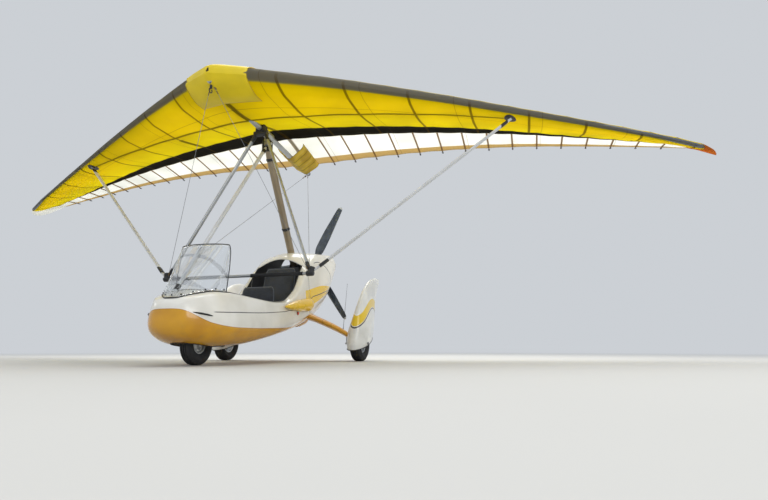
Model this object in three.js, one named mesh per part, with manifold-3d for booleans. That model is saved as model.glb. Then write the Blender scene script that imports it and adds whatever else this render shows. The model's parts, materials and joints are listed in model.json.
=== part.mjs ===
// Two-seat weight-shift ultralight: a faired three-wheel trike hung under a strutted flexible wing.
// Millimetres. +X is the pilot's left, -Y is forward, +Z is up, and the wheels stand on z = 0.
import * as THREE from 'three';
import { mergeVertices } from 'three/addons/utils/BufferGeometryUtils.js';
import Module from 'manifold-3d';

const wasm = await Module();
wasm.setup();

// Driving dimensions. "fore" is measured forward from the hang bolt, "up" from the ground.
const GAP = 0.3;
const HANG_Y = -104.25;
const HANG_Z = 2430;
const WING_PITCH = THREE.MathUtils.degToRad(4);

const MAIN_FORE = -770;
const HALF_TRACK = 873;
const MAIN_TYRE = { radius: 200, half: 68, rim: 104 };
const NOSE_FORE = 1040;
const NOSE_TYRE = { radius: 180, half: 55, rim: 84 };
const AXLE_RADIUS = 12;
const BOLT_RADIUS = 8;

const PROP_FORE = -1370;
const PROP_UP = 1245;
const PROP_RADIUS = 870;
const PROP_BLADES = 3;
const PARKED_TURN = THREE.MathUtils.degToRad(27);

const WALL = 9;
const KEEL_UP = 105;
const KEEL_RADIUS = 30;
const BAR_HALF = 800;
const BAR_FORE = 384;
const BAR_UP = -1620;
const STRUT_X = 2730;
const SAIL_CLOTH = 9;

const root = new THREE.Group();
const trike = new THREE.Group();
const wing = new THREE.Group();
trike.position.set(0, HANG_Y, 0);
wing.position.set(0, HANG_Y, HANG_Z);
wing.rotation.x = -WING_PITCH;
root.add(trike, wing);

// Finishes
const FINISH = {
  cream: [0xe9e6dc, 0.35, 0],
  yellow: [0xe0a51c, 0.35, 0],
  sail: [0xf3cf12, 0.7, 0],
  tip: [0xd98b2b, 0.4, 0],
  black: [0x1b1c1e, 0.6, 0],
  rubber: [0x17181a, 0.85, 0],
  alloy: [0xb9bcc0, 0.35, 0.9],
  steel: [0x8d9094, 0.4, 0.9],
  glass: [0xdfe9ee, 0.08, 0],
  seat: [0x2b2d31, 0.9, 0],
  blade: [0x3c434d, 0.4, 0],
  lamp: [0xd8401c, 0.2, 0],
};

function place(group, name, geometry, finish) {
  const [color, roughness, metalness] = FINISH[finish];
  const material = new THREE.MeshStandardMaterial({ color, roughness, metalness });
  const mesh = new THREE.Mesh(geometry, material);
  mesh.name = name;
  group.add(mesh);
  return mesh;
}

// A point of the trike or the wing from its place left of the middle, ahead and up
function at(left, fore, up) {
  return new THREE.Vector3(left, -fore, up);
}

// Solids: a mesh becomes a manifold solid for joins and cuts, and comes back as a geometry
function solid(geometry) {
  const plain = geometry.clone();
  plain.deleteAttribute('normal');
  plain.deleteAttribute('uv');
  const merged = mergeVertices(plain, 1e-3);
  const corners = [];
  for (let i = 0; i < merged.index.count; i += 3) {
    const [a, b, c] = [0, 1, 2].map((k) => merged.index.array[i + k]);
    if (a !== b && b !== c && c !== a) {
      corners.push(a, b, c);
    }
  }
  return new wasm.Manifold(new wasm.Mesh({
    numProp: 3,
    vertProperties: new Float32Array(merged.attributes.position.array),
    triVerts: new Uint32Array(corners),
  }));
}

// Cuts that graze a face can leave slivers with no volume, which are dropped here
function geometryOf(manifold) {
  const whole = manifold.decompose().filter((piece) => piece.volume() > 1);
  const mesh = joined(...whole).getMesh();
  const geometry = new THREE.BufferGeometry();
  geometry.setAttribute('position', new THREE.BufferAttribute(mesh.vertProperties, 3));
  geometry.setIndex(new THREE.BufferAttribute(mesh.triVerts, 1));
  geometry.computeVertexNormals();
  return geometry;
}

function joined(first, ...others) {
  return others.reduce((sum, other) => sum.add(other), first);
}

function cut(first, ...others) {
  return others.reduce((rest, other) => rest.subtract(other), first);
}

// Triangles over a ring, seen flat, with the ring's own way round
function cap(ring) {
  const normal = new THREE.Vector3();
  ring.forEach((point, i) => normal.add(point.clone().cross(ring[(i + 1) % ring.length])));
  normal.normalize();
  const across = new THREE.Vector3(normal.z, normal.x, normal.y).cross(normal).normalize();
  const up = normal.clone().cross(across);
  const flat = ring.map((point) => new THREE.Vector2(point.dot(across), point.dot(up)));
  return THREE.ShapeUtils.triangulateShape(flat, []).map(([a, b, c]) => {
    const area = flat[b].clone().sub(flat[a]).cross(flat[c].clone().sub(flat[a]));
    return area > 0 ? [a, b, c] : [a, c, b];
  });
}

// A closed skin over rings of points that run the same way round, with a cap at each end
function loft(rings) {
  const sides = rings[0].length;
  const position = rings.flat().flatMap((point) => point.toArray());
  const index = [];
  for (let k = 0; k < rings.length - 1; k += 1) {
    for (let i = 0; i < sides; i += 1) {
      const j = (i + 1) % sides;
      const a = k * sides + i;
      const b = k * sides + j;
      index.push(a, b, b + sides, a, b + sides, a + sides);
    }
  }
  const top = (rings.length - 1) * sides;
  cap(rings[0]).forEach(([a, b, c]) => index.push(a, c, b));
  cap(rings[rings.length - 1]).forEach(([a, b, c]) => index.push(top + a, top + b, top + c));
  const geometry = new THREE.BufferGeometry();
  geometry.setAttribute('position', new THREE.Float32BufferAttribute(position, 3));
  geometry.setIndex(index);
  const made = solid(geometry);
  return made.volume() < 0 ? solid(flipped(geometry)) : made;
}

function flipped(geometry) {
  const turned = geometry.clone();
  const index = Array.from(turned.index.array);
  for (let i = 0; i < index.length; i += 3) {
    [index[i], index[i + 1]] = [index[i + 1], index[i]];
  }
  turned.setIndex(index);
  return turned;
}

// A round or lens-shaped bar between two points: half widths across, and along "chord" if given
function bar(start, end, radius, sides = 16, chord = null, chordRadius = radius) {
  const along = end.clone().sub(start).normalize();
  const guide = chord ?? (Math.abs(along.z) > 0.9 ? new THREE.Vector3(0, 1, 0) : new THREE.Vector3(0, 0, 1));
  const across = new THREE.Vector3().crossVectors(along, guide).normalize();
  const flat = new THREE.Vector3().crossVectors(across, along).normalize();
  const ring = (middle) => Array.from({ length: sides }, (_, i) => {
    const angle = (2 * Math.PI * i) / sides;
    return middle.clone()
      .addScaledVector(across, radius * Math.cos(angle))
      .addScaledVector(flat, chordRadius * Math.sin(angle));
  });
  return loft([ring(start), ring(end)]);
}

// A round tube along corner points in the middle plane, mitred at each corner
function sweep(points, radius, sides) {
  const left = new THREE.Vector3(1, 0, 0);
  const rings = points.map((point, i) => {
    const before = points[Math.max(0, i - 1)];
    const after = points[Math.min(points.length - 1, i + 1)];
    const inDirection = point.clone().sub(before).normalize();
    const outDirection = after.clone().sub(point).normalize();
    const along = inDirection.clone().add(outDirection).normalize();
    const turn = i === 0 ? outDirection : inDirection;
    const stretch = 1 / along.dot(turn);
    const across = new THREE.Vector3().crossVectors(along, left).normalize();
    return Array.from({ length: sides }, (_, k) => {
      const angle = (2 * Math.PI * k) / sides;
      return point.clone()
        .addScaledVector(left, radius * Math.cos(angle))
        .addScaledVector(across, stretch * radius * Math.sin(angle));
    });
  });
  return loft(rings);
}

// Both ends of a bar, moved outward where the bar is grown to cut its neighbours
function ends(start, end, grow) {
  const more = end.clone().sub(start).normalize().multiplyScalar(2 * grow);
  return [start.clone().sub(more), end.clone().add(more)];
}

function box(middle, left, fore, up, tilt = 0) {
  const geometry = new THREE.BoxGeometry(left, fore, up);
  geometry.rotateX(tilt);
  geometry.translate(middle.x, middle.y, middle.z);
  return solid(geometry);
}

// An outline of [fore, up] pairs, pulled out sideways between two places
function plate(outline, from, to) {
  return loft([from, to].map((left) => outline.map(([fore, up]) => at(left, fore, up))));
}

function turned(profile, middle, steps) {
  const points = profile.map(([radius, side]) => new THREE.Vector2(radius, side));
  const geometry = new THREE.LatheGeometry(points, steps);
  geometry.rotateZ(-Math.PI / 2);
  geometry.translate(middle.x, middle.y, middle.z);
  const made = solid(geometry);
  return made.volume() < 0 ? solid(flipped(mergeVertices(stripped(geometry), 1e-3))) : made;
}

function stripped(geometry) {
  const plain = geometry.clone();
  plain.deleteAttribute('normal');
  plain.deleteAttribute('uv');
  return plain;
}

function mirrored(manifold) {
  return manifold.mirror([1, 0, 0]);
}

// Wing sail: chord sections from root to tip
const SAIL = [
  // left, leading edge fore and up, trailing edge fore and up, arch, sag of the under skin
  { left: 0.15, lead: [1190, 170], trail: [-1130, 225], arch: 0.085, sag: 147 },
  { left: 330, lead: [1050, 178], trail: [-1140, 240], arch: 0.09, sag: 118 },
  { left: 900, lead: [775, 178], trail: [-1170, 268], arch: 0.095, sag: 78 },
  { left: 1500, lead: [487, 160], trail: [-1205, 285], arch: 0.1, sag: 55 },
  { left: 2100, lead: [197, 135], trail: [-1255, 290], arch: 0.1, sag: 45 },
  { left: 2730, lead: [-109, 95], trail: [-1330, 285], arch: 0.1, sag: 40 },
  { left: 3300, lead: [-384, 58], trail: [-1415, 268], arch: 0.095, sag: 36 },
  { left: 3900, lead: [-674, 12], trail: [-1530, 250], arch: 0.09, sag: 32 },
  { left: 4400, lead: [-916, -35], trail: [-1615, 225], arch: 0.085, sag: 28 },
  { left: 4700, lead: [-1080, -70], trail: [-1665, 205], arch: 0.08, sag: 24 },
];
const TIP = [
  { left: 4700 + GAP, lead: [-1080, -70], trail: [-1665, 205], arch: 0.08, sag: 24 },
  { left: 4800, lead: [-1165, -82], trail: [-1660, 170], arch: 0.075, sag: 20 },
  { left: 4870, lead: [-1275, -72], trail: [-1620, 120], arch: 0.07, sag: 16 },
  { left: 4900, lead: [-1390, -40], trail: [-1560, 60], arch: 0.06, sag: 10 },
];
const DOUBLE_SHARE = 0.73;
const UPPER_SHARES = [0, 0.012, 0.05, 0.12, 0.22, 0.34, 0.48, 0.62, 0.76, 0.89, 1];
const LOWER_SHARES = [0.9, 0.8, 0.68, 0.45, 0.2, 0.05];
const BATTEN_FIRST = 360;
const BATTEN_STEP = 290;
const BATTEN_COUNT = 15;
const BATTENS = Array.from({ length: BATTEN_COUNT }, (_, i) => BATTEN_FIRST + i * BATTEN_STEP);
const BATTEN_TAIL = 48.3;

// Height of the upper skin over the chord, as a share of its peak at 30% of the chord
function archShape(share) {
  const s = share;
  const shape = 0.2969 * Math.sqrt(s) - 0.126 * s - 0.3516 * s ** 2 + 0.2843 * s ** 3 - 0.1036 * s ** 4;
  return shape / 0.1;
}

function smooth(t) {
  return t * t * (3 - 2 * t);
}

function sailRing(row, grow = 0, raise = 0) {
  const lead = at(row.left, row.lead[0] + 3 * grow, row.lead[1]);
  const trail = at(row.left, ...row.trail);
  const chord = lead.distanceTo(trail);
  const back = trail.clone().sub(lead).normalize();
  const up = new THREE.Vector3(1, 0, 0).cross(back);
  const point = (share, height) => lead.clone()
    .addScaledVector(back, share * chord)
    .addScaledVector(up, height);
  const upper = (share) => chord * row.arch * archShape(share) + grow;
  const under = (share) => upper(share) - SAIL_CLOTH - 2 * grow;
  const ring = UPPER_SHARES.map((share) => point(share, upper(share) + raise));
  ring.push(point(1, -SAIL_CLOTH - grow));
  ring.push(point(0.87, under(0.87)));
  ring.push(point(DOUBLE_SHARE, under(DOUBLE_SHARE)));
  for (const share of LOWER_SHARES) {
    const settled = smooth(Math.min(1, (1 - share) / 0.35));
    const sag = row.sag * Math.min(1, 0.35 + share * 3) + grow;
    ring.push(point(share * DOUBLE_SHARE, THREE.MathUtils.lerp(under(DOUBLE_SHARE), -sag, settled)));
  }
  return ring;
}

const keelFront = at(0, 1140, KEEL_UP);
const keelEnd = at(0, -1130, KEEL_UP);
const keelBore = bar(at(0, 1145, KEEL_UP), at(0, -1700, KEEL_UP), KEEL_RADIUS + GAP, 24);
const uprightTop = (side) => at(side * 52, 150, KEEL_UP - 48);
const barCorner = (side) => at(side * BAR_HALF, BAR_FORE, BAR_UP);
const strutTop = (side) => at(side * STRUT_X, -235, 112);
const chordWise = new THREE.Vector3(0, 1, 0);

function strut(side, grow = 0) {
  return bar(...ends(barCorner(side), strutTop(side), grow), 12 + grow, 14, chordWise, 31 + grow);
}

function upright(side, grow = 0) {
  return bar(...ends(uprightTop(side), barCorner(side), grow), 15 + grow, 14, chordWise, 25 + grow);
}

function baseBar(grow = 0) {
  const reach = BAR_HALF - 20 + grow;
  return bar(at(-reach, BAR_FORE, BAR_UP), at(reach, BAR_FORE, BAR_UP), 15 + grow, 16);
}

function corner(side, grow = 0) {
  const middle = barCorner(side);
  const block = bar(
    middle.clone().add(at(side * (-42 - grow), 0, 0)),
    middle.clone().add(at(side * (34 + grow), 0, 0)),
    27 + grow,
  );
  const head = bar(
    middle.clone().add(at(0, 0, -8)),
    middle.clone().add(at(side * 14, -6, 62 + grow)),
    31 + grow,
  );
  return joined(block, head);
}

function apexBracket(grow = 0) {
  const clamp = box(at(0, 150, KEEL_UP), 96 + 2 * grow, 90 + 2 * grow, 90 + 2 * grow);
  const foot = box(at(0, 150, KEEL_UP - 54), 156 + 2 * grow, 70 + 2 * grow, 36 + 2 * grow);
  return joined(clamp, foot);
}

// The slot in the sail's belly where the hang bracket comes out, wide enough for the wing to roll
const hangSlot = box(at(0, 20, 20), 200, 360, 150);
const sleeveRoom = bar(at(0, 76, KEEL_UP), at(0, -76, KEEL_UP), 50, 24);

function battenTail(left) {
  const next = SAIL.findIndex((row) => row.left > left);
  const [inner, outer] = [SAIL[next - 1], SAIL[next]];
  const mix = (left - inner.left) / (outer.left - inner.left);
  const [fore, up] = [0, 1].map((k) => THREE.MathUtils.lerp(inner.trail[k], outer.trail[k], mix));
  return bar(at(left, fore + 60, up), at(left, fore - BATTEN_TAIL, up - 4), 7, 6);
}

const sides = [{ side: 1, word: 'left' }, { side: -1, word: 'right' }];
const onSide = (manifold, side) => (side > 0 ? manifold : mirrored(manifold));
const forSide = (manifold, side) => geometryOf(onSide(manifold, side));

const sailHalf = cut(
  joined(loft(SAIL.map((row) => sailRing(row))), ...BATTENS.map(battenTail)),
  hangSlot,
  sleeveRoom,
  keelBore,
  apexBracket(GAP),
  strut(1, GAP),
);
const crossing = SAIL.map((row, i) => (i === 0 ? { ...row, left: -1 } : row));
const sailGrown = loft(crossing.map((row) => sailRing(row, GAP)));
const sailPair = joined(sailGrown, mirrored(sailGrown));
const aboveSail = loft(crossing.map((row) => sailRing(row, GAP, 200)));

for (const { side, word } of sides) {
  place(wing, `sail_${word}`, forSide(sailHalf, side), 'sail');
  place(wing, `wing_tip_${word}`, forSide(loft(TIP.map((row) => sailRing(row))), side), 'tip');
  place(wing, `lift_strut_${word}`, geometryOf(cut(strut(side), corner(side, GAP))), 'alloy');
  place(wing, `upright_${word}`, geometryOf(cut(upright(side), corner(side, GAP))), 'alloy');
}
place(wing, 'base_bar', geometryOf(joined(baseBar(), corner(1), corner(-1))), 'black');
place(wing, 'keel_tube', geometryOf(bar(keelFront, keelEnd, KEEL_RADIUS, 24)), 'alloy');
const apex = cut(apexBracket(), keelBore, upright(1, GAP), upright(-1, GAP));
place(wing, 'apex_bracket', geometryOf(apex), 'black');

// Nose cone over the place where both leading edges meet
const noseRings = [-330, -120, 0, 120, 330].map((left) => {
  const lead = 1250 - Math.abs(left) * 0.55;
  return Array.from({ length: 12 }, (_, i) => {
    const angle = (2 * Math.PI * i) / 12;
    return at(left, lead - 80 + 80 * Math.cos(angle), 168 + 74 * Math.sin(angle));
  });
});
place(wing, 'nose_cone', geometryOf(cut(loft(noseRings), sailPair, keelBore)), 'sail');

// Keel pocket: the cloth trunk that hangs from the sail's root round the rear of the keel
const POCKET = { front: -560, rear: -1060, high: 330, low: 66, topHalf: 185, lowHalf: 62 };
const pocketOutline = [
  [-POCKET.topHalf, POCKET.high], [-POCKET.lowHalf, POCKET.low],
  [POCKET.lowHalf, POCKET.low], [POCKET.topHalf, POCKET.high],
];
const pocketRing = (fore) => pocketOutline.map(([left, up]) => at(left, fore, up));
const pocket = loft([POCKET.front, POCKET.rear].map(pocketRing));
place(wing, 'keel_pocket', geometryOf(cut(pocket, aboveSail, mirrored(aboveSail), keelBore)), 'sail');

// Main stays from the bar's corners to the nose and to the rear of the keel
const STAYS = [
  { word: 'front', anchor: at(0, 1080, 60), spread: 24 },
  { word: 'rear', anchor: at(0, -1085, 62), spread: 12 },
];
for (const { word: end, anchor, spread } of STAYS) {
  for (const { side, word } of sides) {
    const low = barCorner(side).add(at(side * -10, 0, 0));
    const top = anchor.clone().add(at(side * spread, 0, 0));
    const wire = bar(low, top, 2.5, 6);
    const blocks = [corner(side, GAP), baseBar(GAP), upright(side, GAP), strut(side, GAP), sailPair, keelBore];
    place(wing, `${end}_stay_${word}`, geometryOf(cut(wire, ...blocks)), 'steel');
  }
}

// Hang bracket: a sleeve that rolls on the keel, with a lug for the pitch bolt
const hang = new THREE.Group();
hang.position.copy(wing.position);
hang.rotation.copy(wing.rotation);
root.add(hang);
const sleeve = bar(at(0, 65, KEEL_UP), at(0, -65, KEEL_UP), 42, 24);
const lug = box(at(0, 0, 22), 54, 50, 100);
const boltHole = bar(at(-60, 0, 0), at(60, 0, 0), BOLT_RADIUS + 0.5, 20);
place(hang, 'hang_bracket', geometryOf(cut(joined(sleeve, lug), keelBore, boltHole)), 'alloy');

// Mast and front strut that hold the trike under the bolt
const MAST_FOOT = at(0, -815, 1110);
const HEAD = { wide: 96, long: 78, high: 122, fore: -6, below: 26 };
const FORK_SLOT = 56.6;
function mastBlock(grow = 0) {
  const [wide, long, high] = [HEAD.wide, HEAD.long, HEAD.high].map((size) => size + 2 * grow);
  return box(at(0, HEAD.fore, HANG_Z - HEAD.below), wide, long, high);
}
const forkSlot = box(at(0, 0, HANG_Z + 6), FORK_SLOT, 120, 102);
const bolt = bar(at(-56, 0, HANG_Z), at(56, 0, HANG_Z), BOLT_RADIUS, 20);
// Engine bed: the frame behind the seats that carries the mast's foot and the engine
const bedOutline = [
  [-650, 520], [-1080, 580], [-1080, 905], [-812, 905], [-812, 1120], [-700, 1120], [-700, 800],
];
const BED_HALF = 80;
const BED_CHEEK = 16;
// The bed is a welded frame: two cheeks with two windows each, closed by walls round the edge
const bedHollow = [
  [-668, 534], [-1066, 592], [-1066, 891], [-798, 891], [-798, 1106], [-714, 1106], [-714, 798],
];
const bedWindows = [
  [[-738, 574], [-1042, 616], [-1042, 826]],
  [[-716, 606], [-1000, 866], [-748, 866], [-732, 790]],
];
const engineBed = cut(
  plate(bedOutline, -BED_HALF, BED_HALF),
  plate(bedHollow, -BED_HALF + BED_CHEEK, BED_HALF - BED_CHEEK),
  ...bedWindows.map((outline) => plate(outline, -BED_HALF - 5, BED_HALF + 5)),
);
function mast(grow = 0) {
  return bar(...ends(at(0, -20, HANG_Z - 50), MAST_FOOT, grow), 42 + grow, 18);
}
const mastTube = cut(mast(), forkSlot, grownPlate(bedOutline, BED_HALF + 1));
place(trike, 'mast', geometryOf(joined(mastTube, cut(mastBlock(), forkSlot), bolt)), 'cream');

// Nacelle: cross sections from the nose to the tail, each a waisted tub
const POD = [
  // fore, half width at the waist, waist up, belly up, rim up, rim half width, crown over the rim
  { fore: 1470, half: 60, waist: 400, belly: 352, rim: 446, rimHalf: 44, crown: 4, round: 2.6 },
  { fore: 1455, half: 138, waist: 390, belly: 300, rim: 490, rimHalf: 110, crown: 12, round: 2.6 },
  { fore: 1405, half: 212, waist: 375, belly: 245, rim: 530, rimHalf: 170, crown: 22, round: 2.6 },
  { fore: 1315, half: 284, waist: 360, belly: 200, rim: 570, rimHalf: 228, crown: 28, round: 2.6 },
  { fore: 1180, half: 340, waist: 350, belly: 165, rim: 602, rimHalf: 280, crown: 32, round: 2.6 },
  { fore: 980, half: 372, waist: 350, belly: 150, rim: 610, rimHalf: 312, crown: 34, round: 2.6 },
  { fore: 700, half: 384, waist: 360, belly: 165, rim: 600, rimHalf: 335, crown: 30, round: 2.6 },
  { fore: 350, half: 388, waist: 375, belly: 215, rim: 592, rimHalf: 350, crown: 30, round: 2.6 },
  { fore: 100, half: 390, waist: 395, belly: 265, rim: 612, rimHalf: 362, crown: 30, round: 2.6 },
  { fore: -150, half: 392, waist: 450, belly: 320, rim: 740, rimHalf: 368, crown: 40, round: 2.6 },
  { fore: -430, half: 396, waist: 560, belly: 385, rim: 1040, rimHalf: 345, crown: 130, round: 2.5 },
];
const COWL = [
  { fore: -430, half: 396, waist: 560, belly: 385, rim: 1040, rimHalf: 345, crown: 130, round: 2.5 },
  { fore: -650, half: 402, waist: 740, belly: 432, rim: 1215, rimHalf: 330, crown: 70, round: 2.3 },
  { fore: -900, half: 408, waist: 960, belly: 482, rim: 1285, rimHalf: 340, crown: 40, round: 2.1 },
  { fore: -1100, half: 400, waist: 1130, belly: 560, rim: 1312, rimHalf: 345, crown: 30, round: 1.8 },
  { fore: -1200, half: 395, waist: 1200, belly: 640, rim: 1322, rimHalf: 328, crown: 26, round: 1.5 },
];
const LOWER_STEPS = 7;
const UPPER_STEPS = 4;

function podRing(row, inset = 0, lift = 0) {
  const half = row.half - inset;
  const belly = row.belly + inset;
  const rimHalf = row.rimHalf - inset;
  const rim = row.rim - inset + lift;
  const sideOf = [];
  for (let i = 0; i <= LOWER_STEPS; i += 1) {
    const angle = (Math.PI / 2) * (i / LOWER_STEPS);
    const power = 2 / row.round;
    sideOf.push([half * Math.sin(angle) ** power, row.waist - (row.waist - belly) * Math.cos(angle) ** power]);
  }
  for (let i = 1; i <= UPPER_STEPS; i += 1) {
    const rise = i / UPPER_STEPS;
    sideOf.push([THREE.MathUtils.lerp(half, rimHalf, rise ** 1.6), THREE.MathUtils.lerp(row.waist, rim, rise)]);
  }
  const crown = rim + row.crown;
  const leftSide = sideOf.map(([left, up]) => at(left, row.fore, up));
  const rightSide = sideOf.slice(1).reverse().map(([left, up]) => at(-left, row.fore, up));
  return [...leftSide, at(0, row.fore, crown), ...rightSide];
}

function stretched(rows, ahead, behind) {
  const first = { ...rows[0], fore: rows[0].fore + ahead };
  const last = { ...rows[rows.length - 1], fore: rows[rows.length - 1].fore - behind };
  return [...(ahead ? [first] : []), ...rows, ...(behind ? [last] : [])];
}

const podOuter = loft(POD.map((row) => podRing(row)));
const podRoom = loft(stretched(POD.slice(1), 0, 30).map((row) => podRing(row, WALL)));
const cowlOuter = loft(COWL.map((row) => podRing({ ...row, fore: row.fore - (row.fore > -431 ? GAP : 0) })));
const cowlRoom = loft(stretched(COWL, 30, 30).map((row) => podRing(row, WALL)));
const hullGrown = joined(
  loft(POD.map((row) => podRing(row, -GAP))),
  loft(COWL.map((row) => podRing(row, -GAP))),
);

// Cockpit opening in the tub's deck, inside a rim flange
const RIM_FLANGE = 20;
const cockpitRows = [
  // fore, half width
  [1190, 160], [1160, 222], [1000, 305], [700, 335], [350, 350], [100, 362], [-150, 368], [-460, 345],
];
const cockpitRing = (up) => {
  const edge = cockpitRows.map(([fore, half]) => [half - WALL - RIM_FLANGE, fore]);
  const leftEdge = edge.map(([left, fore]) => at(left, fore, up));
  const rightEdge = [...edge].reverse().map(([left, fore]) => at(-left, fore, up));
  return [...leftEdge, ...rightEdge];
};
const cockpitCut = loft([cockpitRing(570), cockpitRing(1400)]);

// Nose-wheel well in the belly, flared where the fork swings
const WELL = [[60, 1262], [112, 1235], [136, 1180], [142, 1050], [188, 960], [182, 900], [104, 820], [34, 720]];
const wellRing = (up) => [
  ...WELL.map(([left, fore]) => at(left, fore, up)),
  ...[...WELL].reverse().map(([left, fore]) => at(-left, fore, up)),
];
const wellCut = loft([wellRing(60), wellRing(330)]);

// The front strut reaches the deck close behind the screen
const STRUT_FOOT = at(0, 1370, 570);
function frontStrut(grow = 0) {
  return bar(...ends(at(0, 30, HANG_Z - 60), STRUT_FOOT, grow), 19 + grow, 16);
}

place(trike, 'nose_pod', geometryOf(cut(podOuter, podRoom, cockpitCut, wellCut)), 'cream');
place(trike, 'rear_cowl', geometryOf(cut(cowlOuter, cowlRoom, mast(GAP))), 'cream');
place(trike, 'front_strut', geometryOf(cut(frontStrut(), mastBlock(GAP), hullGrown)), 'alloy');

// Screen: a wrapped sheet that stands on the deck and leans back
const SCREEN = [
  // up, how far ahead the middle is, where the ends are, half width
  { up: 540, front: 1428, back: 1050, half: 258 },
  { up: 800, front: 1250, back: 1020, half: 262 },
  { up: 1045, front: 1092, back: 985, half: 245 },
];
const SCREEN_STEPS = 12;
const SCREEN_WALL = 9;
const screenRings = SCREEN.map(({ up, front, back, half }) => {
  const edge = (inset) => Array.from({ length: SCREEN_STEPS + 1 }, (_, i) => {
    const angle = Math.PI * (i / SCREEN_STEPS);
    return at((half - inset) * Math.cos(angle), back + (front - back - inset) * Math.sin(angle), up);
  });
  return [...edge(0), ...edge(SCREEN_WALL).reverse()];
});
place(trike, 'windscreen', geometryOf(cut(loft(screenRings), hullGrown)), 'glass');

// Steering stem and the keel tube along the floor
const RAKE = THREE.MathUtils.degToRad(12);
const STEM_RADIUS = 17;
const noseMiddle = at(0, NOSE_FORE, NOSE_TYRE.radius);
const steerUp = new THREE.Vector3(0, Math.sin(RAKE), Math.cos(RAKE));
const onStem = (distance) => noseMiddle.clone().addScaledVector(steerUp, distance);
const KEEL_ROUTE = [at(0, 900, 395), at(0, 690, 240), at(0, 350, 262), at(0, -150, 362), at(0, -648, 478)];
function keelPipe(grow = 0) {
  return sweep([onStem(306), ...KEEL_ROUTE], 20 + grow, 10);
}

// Inside: panel, seat base and cushions, each cut to the tub's inner wall
const podInside = loft(POD.slice(1).map((row) => podRing(row, WALL + GAP)));
const inside = joined(podInside, loft(stretched(COWL, 5, 0).map((row) => podRing(row, WALL + GAP))));
const PANEL_FORE = 1215;
const PANEL_THICK = 22;
const DIALS = [
  // left, up, radius
  { left: -200, up: 554, radius: 36 }, { left: -110, up: 563, radius: 40 }, { left: 0, up: 570, radius: 44 },
  { left: 110, up: 563, radius: 40 }, { left: 200, up: 554, radius: 36 },
];
const DIAL_RISE = 9;
const panelRear = PANEL_FORE - PANEL_THICK / 2;
const dials = DIALS.map(({ left, up, radius }) => cut(
  bar(at(left, panelRear + 5, up), at(left, panelRear - DIAL_RISE, up), radius, 20),
  bar(at(left, panelRear - DIAL_RISE + 5, up), at(left, panelRear - DIAL_RISE - 5, up), radius - 5, 20),
));
const board = box(at(0, PANEL_FORE, 560), 800, PANEL_THICK, 300);
place(trike, 'instrument_panel', geometryOf(joined(board, ...dials).intersect(podInside)), 'black');

const seatOutline = [
  [520, 180], [500, 400], [80, 380], [20, 470], [-40, 500], [-330, 520], [-430, 640], [-500, 1080],
  [-540, 1080], [-540, 460], [-200, 350],
];
const seatBase = cut(plate(seatOutline, -205, 205).intersect(inside), keelPipe(GAP));
place(trike, 'seat_base', geometryOf(seatBase), 'black');

const PADS = [
  {
    name: 'pilot_seat', half: 195,
    outline: [[500, 401], [490, 470], [130, 462], [76, 790], [12, 800], [20, 473], [82, 381]],
  },
  {
    name: 'passenger_seat', half: 200,
    outline: [[-42, 501], [-45, 575], [-318, 592], [-428, 1075], [-496, 1081], [-428, 642], [-330, 521]],
  },
];
for (const { name, outline, half } of PADS) {
  const pad = plate(outline, -half, half);
  place(trike, name, geometryOf(cut(pad, grownPlate(seatOutline, 206))), 'seat');
}

// A plate with every edge moved out by the gap, for cutting what rests on it
function grownPlate(outline, half) {
  const base = plate(outline, -half, half);
  const shifts = [[GAP, 0], [-GAP, 0], [0, GAP], [0, -GAP]];
  return joined(base, ...shifts.map(([fore, up]) => base.translate([0, -fore, up])));
}

place(trike, 'engine_bed', geometryOf(cut(engineBed, cut(hullGrown, inside))), 'steel');

// Engine: a flat four with finned cylinders, a gearbox with the propeller shaft, and a silencer
const CRANK_UP = 1045;
const CYLINDERS = [-905, -1075];
const FINS = { first: 84, step: 17, count: 5, thick: 5, radius: 62 };
const PIPE_SIDE = 130;
const SILENCER = { fore: -1140, up: 800, half: 158, radius: 52 };
function cylinder(side, fore) {
  const place3 = (out) => at(side * out, fore, CRANK_UP);
  const along = (from, to, radius) => bar(place3(from), place3(to), radius, 20);
  const fins = Array.from({ length: FINS.count }, (_, i) => {
    const from = FINS.first + i * FINS.step;
    return along(from, from + FINS.thick, FINS.radius);
  });
  return joined(along(70, 172, 46), along(168, 208, 58), ...fins);
}
function exhaustPipe(side, fore) {
  const route = [[fore, 1010], [fore, 880], [SILENCER.fore, SILENCER.up]];
  return sweep(route.map(([ahead, up]) => at(side * PIPE_SIDE, ahead, up)), 14, 10);
}
const silencerEnd = (side) => at(side * SILENCER.half, SILENCER.fore, SILENCER.up);
const engine = joined(
  box(at(0, -995, CRANK_UP), 150, 330, 180),
  box(at(0, -995, 1145), 100, 250, 70),
  box(at(0, -1000, 930), 150, 290, 90),
  bar(at(0, -1130, PROP_UP - 30), at(0, PROP_FORE + 80, PROP_UP - 30), 84, 24),
  bar(at(0, PROP_FORE + 90, PROP_UP), at(0, PROP_FORE + 8, PROP_UP), 16, 16),
  bar(silencerEnd(-1), silencerEnd(1), SILENCER.radius, 20),
  ...sides.flatMap(({ side }) => CYLINDERS.flatMap((fore) => [cylinder(side, fore), exhaustPipe(side, fore)])),
);
place(trike, 'engine_block', geometryOf(cut(engine, mast(GAP), grownPlate(bedOutline, BED_HALF + 1))), 'black');

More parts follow.
